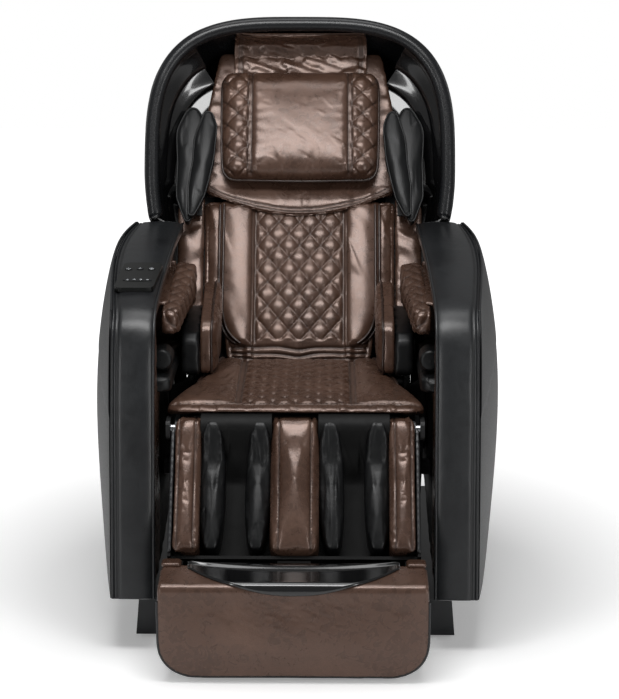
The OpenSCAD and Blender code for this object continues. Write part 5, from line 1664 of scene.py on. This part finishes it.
@dataclass
class Controls:
    """Plain silver marks on the keys."""

    def mark(self, name: str, node: str, paths: Sequence[Array], body: str) -> None:
        """Flat strokes on a key's face.

        Args:
            name: object name.
            node: key that carries the mark.
            paths: (n, 2) strokes about the key's middle, x and along the panel.
            body: body of the key.
        """
        low, high = (np.array(v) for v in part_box(node))
        up = -vec(*joint(body + "_press")["axis"])
        along = unit(np.cross(up, vec(1, 0, 0)))
        along = along * np.sign(along[1])
        centre = (low + high) / 2
        co = coordinates(frame["nodes"][node])
        face = ((co - centre) @ up).max()
        parts = []
        for path in paths:
            at_face = centre + path[:, :1] * vec(1, 0, 0) + path[:,
                1:] * along + up * (face + 0.00005)
            closed = bool(np.linalg.norm(path[0] - path[-1]) < 1e-6)
            parts.append((sweep(at_face[:-1] if closed else at_face, up,
                circle(0.0003, 8, 0.00062), closed), closed))
        obj = bundle(name, parts)
        dress(obj, body, Finish.MARK)

    def build(self) -> None:
        """Marks on the four keys."""
        a = np.linspace(0, 2 * math.pi, 33)
        dot = np.column_stack([np.cos(a), np.sin(a)])
        arc = np.radians(np.linspace(-215, 35, 26))
        power = 0.0034 * np.column_stack([np.cos(arc), np.sin(arc)])
        bar = np.array([[0, 0.0012], [0, 0.003], [0, 0.0048]])
        cross = [np.array([[-0.0032, 0], [0, 0], [0.0032, 0]]),
            np.array([[0, -0.0032], [0, 0], [0, 0.0032]])]
        self.mark("mark_left", "key_left", [power, bar], "key_left")
        self.mark("mark_middle", "key_middle", cross, "key_middle")
        self.mark("mark_right", "key_right", [0.0036 * dot, 0.0014 * dot], "key_right")
        dots = [0.0019 * dot + np.array([k * 0.0125, -0.0012 * k * k]) for k in (-1.5, -0.5, 0.5,
            1.5)]
        self.mark("mark_arc", "key_arc", dots, "key_arc")
        LOG.info("controls done")


# ---- Seat ----


@dataclass
class Seat:
    """Seat cushion with a quilted middle, piped wings, a front border, and hip bolsters."""

    top: float = 0.44
    front: float = -0.474
    rear: float = -0.041
    front_half: float = 0.239
    rear_half: float = 0.183
    lip: float = 0.022
    quilt_half: float = 0.104
    knee_r: float = 0.0308
    knee_y: float = -0.472
    knee_z: float = 0.4
    diamond: tuple[float, float] = (0.043, 0.048)
    wing: tuple[float, ...] = (0.15, 0.174, 0.204, 0.228, 0.241)
    wing_y: tuple[float, ...] = (-0.05, -0.18, -0.28, -0.325, -0.345)

    def wing_x(self, y: Array) -> Array:
        """Half distance between the wings' piping lines."""
        return np.interp(-y, [-v for v in self.wing_y], self.wing)

    def under(self, x: Array, y: Array) -> Array:
        """Underside: level, raised in front over the round of the calf rest."""
        round_z = self.knee_z + np.sqrt(np.clip(self.knee_r ** 2 - (y - self.knee_y) ** 2, 0, None))
        return np.maximum(self.top - self.lip + 0.0003, round_z + 0.0005)

    def relief(self, x: Array, y: Array, z: Array) -> Pair:
        """Diamonds, double side seams, wings outside the piping, border seam and front pleats."""
        w = np.abs(x)
        puff, dark = quilting(x, y - 0.006, *self.diamond, 0.008, 0.32)
        behind = smooth(y, -0.436, -0.43)
        inside = smooth(self.quilt_half - w, 0.0, 0.006) * behind
        one, dark_one = seam(w - self.quilt_half, 0.0042, 0.0022)
        two, dark_two = seam(w - self.quilt_half - 0.0065, 0.003, 0.0018)
        border, dark_border = seam(y + 0.44, 0.004, 0.0026)
        wing = smooth(w - self.wing_x(y), 0.0, 0.01) * smooth(y, -0.345, -0.325)
        gather = folds(w - self.wing_x(y), y, 91, 0.026, 0.024, 0.0018) * wing
        strip = 0.0028 * np.sin(math.pi * np.clip((w - 0.11) / (self.wing_x(y) - 0.11), 0, 1))
        nose = 0.0012 * (1 - behind) * waves(x * 1.2, y * 0.3, 92, 0.045)
        height = (inside * puff + behind * (one + two) + border - 0.005 * wing + gather
                  + behind * strip * (1 - wing) + nose + 0.0006 * waves(x, y, 93, 0.035))
        # The second value is painted shade in the quilting, the seams and the border, and over the
        # whole sunken wing outside the piping.
        return height, np.clip(inside * dark + behind * (dark_one + 0.7 * dark_two) + dark_border
            + 0.6 * wing, 0, 1)

    def cushion(self) -> None:
        """Seat cushion, its core, piping and stitches."""
        outline = corner_path(mirrored([[self.front_half, self.front, 0.03],
            [self.front_half, self.front + 0.05, 0.03],
            [0.198, -0.24, 0.06], [self.rear_half, self.rear, 0.012]]))
        pad = Pad("seat_pad", PLAN, outline, self.top - 0.0015, self.under, 0.009, 0.005, 0.0045,
            0.005, self.relief, lambda x, y: np.maximum(ridge(np.abs(x) - self.quilt_half, 0.004),
            ridge(y + 0.44, 0.003)))
        obj = dress(pad.build(), "seat", Finish.BROWN, ["seat_cushion"])
        core = Pad("seat_core", PLAN, corner_path(mirrored([[0.202, -0.432, 0.01],
            [0.202, -0.24, 0.06], [0.182, -0.043, 0.01]])),
                   0.419, lambda x, y: 0.3425 + 0.05 * smooth(-y, 0.392, 0.432), 0.004, 0.0,
                   0.008, 0.0, lambda x, y, z: (0.0 * x, 0.0 * x))
        dress(core.build(), "seat", Finish.BLACK, ())
        cover = Cover(obj, PLAN)
        y = np.linspace(-0.055, -0.335, 90)
        for side, name in SIDES:
            points, normals = cover.cast(np.column_stack([side * self.wing_x(y), y]), 0.0018)
            dress(tube(f"seat_piping_{name}", points, normals, 0.003), "seat", Finish.PIPING)
            for k, shift in enumerate((-0.0024, 0.0088)):
                line = np.column_stack([np.full(90, side * (self.quilt_half + shift)),
                    np.linspace(-0.055, -0.43, 90)])
                row(f"seat_stitches_{name}_{k}", cover, line, Finish.THREAD, "seat")
        x = np.linspace(-0.215, 0.215, 120)
        row("seat_stitches_front", cover, np.column_stack([x, np.full_like(x, -0.4355)]),
            Finish.THREAD, "seat")

    def bolster(self, side: int) -> None:
        """Brown inner hip pad against the seat, black outer pad with its smooth face forward."""
        tag = tag_of(side)
        space = flank(side)
        low = self.top + 0.0065

        def puckered(seed: int) -> Relief:
            """Soft creases that run up the pad."""
            return lambda u, v, d: (0.0016 * waves(u * 1.3, v * 0.6, seed, 0.05, 6),
                np.zeros_like(u))

        inner = Pad(f"hip_inner_{tag}", space, corner_path([
            [-0.233, low, 0.012], [-0.221, low + 0.098, 0.035], [-0.032, low + 0.15, 0.04],
            [0.03, low + 0.142, 0.02], [-0.048, low, 0.008]]), -0.1605, -0.1895, 0.014, 0.003,
            0.0045, 0.003, puckered(95))
        obj = dress(inner.build(), "seat", Finish.BROWN, [f"hip_bolster_{tag}"])
        path, normals = Cover(obj, space).nearest(edge_path(inner, 0.001, 0.006), 0.0012)
        dress(tube(f"hip_piping_{tag}", path, normals, 0.0026, True), "seat", Finish.PIPING)
        outer = Pad(f"hip_outer_{tag}", space, corner_path([
            [-0.243, low, 0.012], [-0.231, low + 0.08, 0.03], [-0.032, low + 0.1, 0.03],
            [0.005, low + 0.096, 0.014], [-0.048, low, 0.008]]), -0.1895, -0.2255, 0.008, 0.0,
            0.0045, 0.0, puckered(96))
        dress(outer.build(), "seat", Finish.BLACK, ())

    def build(self) -> None:
        """Makes the seat."""
        self.cushion()
        for side in (-1, 1):
            self.bolster(side)
        LOG.info("seat done")


# ---- Leg rest ----


@dataclass
class CalfRest:
    """Three brown columns over a knee roll, with black leaf pads in the wells between them."""

    mid_half: float = 0.0418
    side_in: float = 0.1755
    side_mid: float = 0.2085
    side_out: float = 0.2215
    rim_out: float = 0.2288
    front: float = 0.0215
    rear: float = -0.0592
    roll: float = 0.0285
    top: float = -0.0262
    low: float = 0.2475
    well: tuple[float, float] = (0.0425, 0.1745)

    def round(self, v: Array, r: float) -> Array:
        """Depth of a circle about the knee: sqrt(r^2 - v^2) above the knee, r below it."""
        return np.sqrt(np.clip(r ** 2 - np.minimum(v, 0) ** 2, 1e-8, None))

    def face(self, x: Array, v: Array) -> Array:
        """Front of the columns: round over the knee, then down to the flat front."""
        share = smooth(v, 0.0, 0.06)
        return self.round(v, self.roll) * (1 - share) + self.front * share

    def slope(self, x: Array, v: Array) -> Array:
        """Rear of the columns: round over the knee, back into the shell, thin beyond the side."""
        inner = np.where(v < 0.004, -self.round(v, self.roll),
            -self.roll + (self.rear + self.roll) * np.clip((v - 0.004) / 0.03, 0, 1))
        share = smooth(np.abs(x), self.side_mid - 0.002, self.side_mid)
        thin = np.minimum(0.016, self.face(x, v) - 0.005)
        return inner * (1 - share) + thin * share

    def column(self, name: str, outline: Array, seams: Sequence[float], seed: int) -> None:
        """One rounded column with double seams near its edges.

        Args:
            name: object name.
            outline: outline of the face.
            seams: places of the seams across.
            seed: seed of the creases.
        """
        def relief(x: Array, v: Array, d: Array) -> Pair:
            """Long seams and shallow long creases."""
            height, dark = 0.0004 * waves(x * 0.9, v * 0.4, seed, 0.06, 5), np.zeros_like(x)
            for place in seams:
                dip, line = seam(x - place, 0.003, 0.0016)
                height, dark = height + dip, dark + line
            # The second value is painted shade in the seams.
            return height, np.clip(dark, 0, 1)

        wide = np.ptp(outline[:, 0]) > 0.06
        drop, crown = (0.004, 0.01) if wide else (0.0, 0.004)
        pad = Pad(name, LEG, outline, lambda x, v: self.face(x, v) - drop, self.slope, 0.014, crown,
                  0.0042, 0.003, relief)
        obj = dress(pad.build(), "leg", Finish.BROWN, ["calf_cushion"])
        cover = Cover(obj, LEG)
        v = np.linspace(0.004, self.low - 0.01, 80)
        for k, place in enumerate(seams):
            row(f"{name}_stitches_{k}", cover,
                np.column_stack([np.full_like(v, place + 0.0024), v]),
                Finish.THREAD, "leg")

    def leaf(self, name: str, high: float, base: float, half: float, seed: int) -> None:
        """Black air pad: a long leaf that laps over the knee roll and leans across the well.

        The half width is half * (0.45 + 0.55 sin(pi t)^0.6) round a line from one place to another.
        """
        t = np.linspace(0, 1, 40)
        middle = high + (base - high) * t
        width = half * (0.45 + 0.55 * np.sin(math.pi * t) ** 0.6)
        s = -0.014 + 0.252 * t
        outline = np.vstack([np.column_stack([middle - width, s]),
            np.column_stack([middle + width, s])[::-1]])

        def front(x: Array, v: Array) -> Array:
            """Over the roll at the top, level with the columns' seams lower down."""
            share = smooth(v, 0.0, 0.075)
            return self.round(v, self.roll + 0.0006) * (1 - share) + 0.004 * share

        def behind(x: Array, v: Array) -> Array:
            """Just under the front at the roll, deep in the well lower down."""
            return np.where(v < 0.03, front(x, v) - 0.015, self.rear + 0.006)

        pad = Pad(name, LEG, outline, front, behind, 0.0085, 0.004, 0.0038, 0.003,
                  lambda x, v, d: (0.0007 * waves((x - high) * 2.6, v * 0.35, seed, 0.04, 7),
            np.zeros_like(x)))
        dress(pad.build(), "leg", Finish.BLACK, ["calf_airbags"])

    def lining(self, side: int) -> None:
        """Cover of one well in the near-black leather of painted shade: over the knee roll, down a
        soft slope to the padded back.

        A closed profile in the side view is carried across the well; near its front the sheet
        gathers in folds that run down the slope.
        """
        turn = np.radians(np.linspace(20, 195, 26))
        arc = np.column_stack([-self.roll * np.sin(turn), -self.roll * np.cos(turn)])
        lead = corner_path([[0.012, 0.0255, 0.01], [0.04, -0.006, 0.02], [0.085, -0.048, 0.025],
            [0.241, -0.0535, 0.003], [0.241, -0.059, 0.002], [0.046, -0.059, 0.006],
            [0.018, -0.033, 0.01]], False)
        profile = resample(np.vstack([arc, lead]), 150, closed=True)
        x = np.linspace(*sorted((side * self.well[0], side * self.well[1])), 90)[:, None]
        v, d = profile[None, :, 0], profile[None, :, 1]
        slope = ridge(v - 0.045, 0.03) * smooth(d, -0.058, -0.04)
        d = d + 0.003 * slope * waves(x, v * 0.2, 121 + side, 0.04, 6)
        rings = np.stack([x + 0 * v, v + 0 * x, d], -1)
        obj = loft(f"calf_lining_{tag_of(side)}", LEG.world(rings))
        dress(obj, "leg", Finish.WELL, ["calf_airbags"])

    def rim(self, side: int) -> None:
        """Narrow smooth edge outside a side column."""
        tag = tag_of(side)
        outline = corner_path([[side * self.side_out, 0.002, 0.002],
            [side * self.rim_out, 0.01, 0.004],
            [side * self.rim_out, 0.2505, 0.004], [side * self.side_out, 0.2505, 0.002]])
        pad = Pad(f"calf_rim_{tag}", LEG, outline, 0.02, 0.015, 0.002, 0.0005, 0.003)
        dress(pad.build(), "leg", Finish.BAND, ())

    def build(self) -> None:
        """Makes the calf rest."""
        self.column("calf_middle", corner_path([
            [-self.mid_half, self.top, 0.01], [self.mid_half, self.top, 0.01],
            [self.mid_half, self.low, 0.01], [-self.mid_half, self.low, 0.01]]), (-0.03, 0.03), 101)
        for side, tag in SIDES:
            self.column(f"calf_side_{tag}", corner_path([
                [side * self.side_in, self.top, 0.008], [side * 0.2065, self.top, 0.01],
                [side * self.side_out, -0.002, 0.016], [side * self.side_out, self.low, 0.014],
                [side * self.side_in, self.low, 0.008]]), (side * 0.183, side * 0.2135), 102 + side)
            self.leaf(f"calf_leaf_inner_{tag}", side * 0.064, side * 0.0705, 0.0205, 105 + side)
            self.leaf(f"calf_leaf_outer_{tag}", side * 0.152, side * 0.1515, 0.0215, 108 + side)
            self.lining(side)
            self.rim(side)
        LOG.info("calf rest done")


@dataclass
class FootRest:
    """Foot unit: brown wrapped cover, gloss crescent over its top edge, grey side pads."""

    half: float = 0.2405
    low: float = 0.0115
    top: float = 0.1755
    face: float = 0.7395
    rear: float = 0.7245
    shelf_rear: float = 0.655
    shelf_rise: float = 0.016
    trim_half: float = 0.19

    def cover_relief(self, x: Array, z: Array, d: Array) -> Pair:
        """Fine crackle creases in the upper middle, soft dents towards the sides."""
        middle = ridge(x, 0.14) * smooth(z, 0.06, 0.13) * smooth(0.172 - z, 0.0, 0.01)
        crackle = 0.0003 * middle * waves(x * 0.9, z * 1.3, 111, 0.022, 9)
        across = np.clip(1 - np.abs(x / 0.238) ** 5, 0, 1) ** 0.8
        belly = 0.0085 * across * smooth(z, 0.01, 0.06) * smooth(0.172 - z, 0.0, 0.11)
        return crackle + belly + 0.0003 * waves(x, z, 112, 0.09), np.zeros_like(x)

    def cover(self) -> None:
        """Padded front with rounded lower corners that wraps over the top edge, and piping."""
        sheet = Wrap(self.face - 0.0005, 0.1665, 0.016, math.radians(79.3))
        over = 0.1665 + 0.016 * sheet.angle
        end = over + 0.0705
        outline = corner_path([[-self.half, self.low, 0.066], [self.half, self.low, 0.066],
            [self.half, 0.15, 0.02], [self.half - 0.002, end, 0.012],
            [0.002 - self.half, end, 0.012], [-self.half, 0.15, 0.02]])
        centre = (outline.min(0) + outline.max(0)) / 2

        def rear(x: Array, w: Array) -> Array:
            """15 mm thick in front, 10 mm over the shelf."""
            return self.face - 0.015 + 0.005 * smooth(w, 0.15, over)

        pad = Pad("foot_cover", FRONT, outline, self.face - 0.0015, rear, 0.0045, 0.0, 0.0045, 0.0,
                  self.cover_relief, facing=-0.6)
        flat = pad.build()
        set_coordinates(flat, sheet.world(FRONT.local(coordinates(flat))))
        obj = dress(flat, "foot", Finish.BROWN, ["foot_panel"])
        low = outline[(outline[:, 1] < 0.172)]
        low = low[np.argsort(np.arctan2(low[:, 0], centre[1] - low[:, 1]))]
        path = sheet.world(np.column_stack([low, np.full(len(low), self.face - 0.006)]))
        path, normals = Cover(obj, FRONT).nearest(resample(path, 200), 0.0004)
        dress(tube("foot_piping", path, normals, 0.0028), "foot", Finish.BAND)
        for side, tag in SIDES:
            ends = sorted((side * 0.2015, side * 0.2385))
            wrap = Pad(f"foot_wrap_{tag}", PLAN, corner_path([
                [ends[0], -self.shelf_rear - 0.012, 0.004],
                [ends[1], -self.shelf_rear - 0.012, 0.004],
                [ends[1], -0.622, 0.014], [ends[0], -0.622, 0.01]]),
                lambda x, y: 0.1995 - 0.74 * np.clip(y + 0.634, 0, None),
                lambda x, y: 0.19 - 0.74 * np.clip(y + 0.634, 0, None), 0.004, 0.0, 0.0042)
            dress(wrap.build(), "foot", Finish.BROWN, ())

    def crescent(self) -> None:
        """Gloss trim over the top edge: its lower rim is an arc, lowest in the middle.

        A strip runs from the rim over the rounded front edge to the rear of the shelf. w is the
        distance along the strip's centre curve from the front edge, negative down the face:
        the rim lies at w = -0.012 + 0.075 |x / half|^2.4.
        """
        t = np.linspace(-1, 1, 180)[:, None]
        x = t * self.trim_half
        start = -0.02 + 0.088 * np.abs(t) ** 2.4
        share = np.linspace(0, 1, 60)[None, :]
        w = start + (0.0835 - start) * share
        bend = 0.016
        turn = np.clip((w + 0.5 * math.pi * bend * 0.5) / (0.5 * math.pi * bend), 0,
            1) * 0.5 * math.pi
        front = -(self.face + 0.003)
        level = self.top + 0.0105
        down = np.minimum(w + 0.25 * math.pi * bend, 0)
        past = np.maximum(w - 0.25 * math.pi * bend, 0)
        y = front + bend * (1 - np.cos(turn)) + past
        z = level - bend * (1 - np.sin(turn)) + down + self.shelf_rise * (past / 0.085) ** 1.1
        ridge_line = 0.0035 * ridge(share - 0.82, 0.1)
        z = z + ridge_line
        edge = np.minimum(share, 1 - share)
        sink = 0.0022 * (1 - smooth(edge, 0.0, 0.05)) + 0.002 * smooth(np.abs(t), 0.97, 1.0)
        out = np.stack([x + 0 * w, HIP[1] + y + sink * np.cos(turn), z - sink * np.sin(turn)], -1)
        thick = 0.0042
        rear = np.stack([x + 0 * w, HIP[1] + y + thick * np.cos(turn),
            z - ridge_line - thick * np.sin(turn)], -1)
        obj = slab("foot_crescent", out, rear)
        dress(obj, "foot", Finish.GLOSS, ["foot_trim"])

    def side_pads(self) -> None:
        """Grey air pads in the foot wells."""
        for side, tag in SIDES:
            for k, (near, far) in enumerate(((0.0305, 0.0495), (0.1805, 0.1995))):
                faces_in = k == 1
                space = flank(side) if faces_in else flank(-side)
                front, rear = (-near, -far) if faces_in else (far, near)
                pad = Pad(f"foot_pad_{tag}_{k}", space, corner_path([
                    [-0.646, 0.062, 0.01], [-0.646, 0.172, 0.01], [-0.628, 0.175, 0.012],
                    [-0.56, 0.135, 0.02], [-0.56, 0.062, 0.01]]), front, rear, 0.007, 0.0,
                    0.004, 0.0,
                    lambda u, v, d: (0.0012 * waves(u, v, 115, 0.025), np.zeros_like(u)))
                dress(pad.build(), "foot", Finish.GREY, ["foot_airbags"])

    def build(self) -> None:
        """Makes the foot unit."""
        self.cover()
        self.crescent()
        self.side_pads()
        LOG.info("foot rest done")


# ---- Whole chair ----


def main() -> None:
    """Builds the studio and every sub-assembly in order."""
    logging.basicConfig(level=logging.INFO, format="%(name)s: %(message)s")
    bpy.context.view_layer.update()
    Studio().build()
    CarriedNodes().build()
    Hood().build()
    Backrest().build()
    HeadPillow().build()
    for side in (-1, 1):
        ShoulderPad(side).build()
        Arm(side).build()
    Controls().build()
    Seat().build()
    CalfRest().build()
    FootRest().build()


if __name__ == "__main__":
    main()
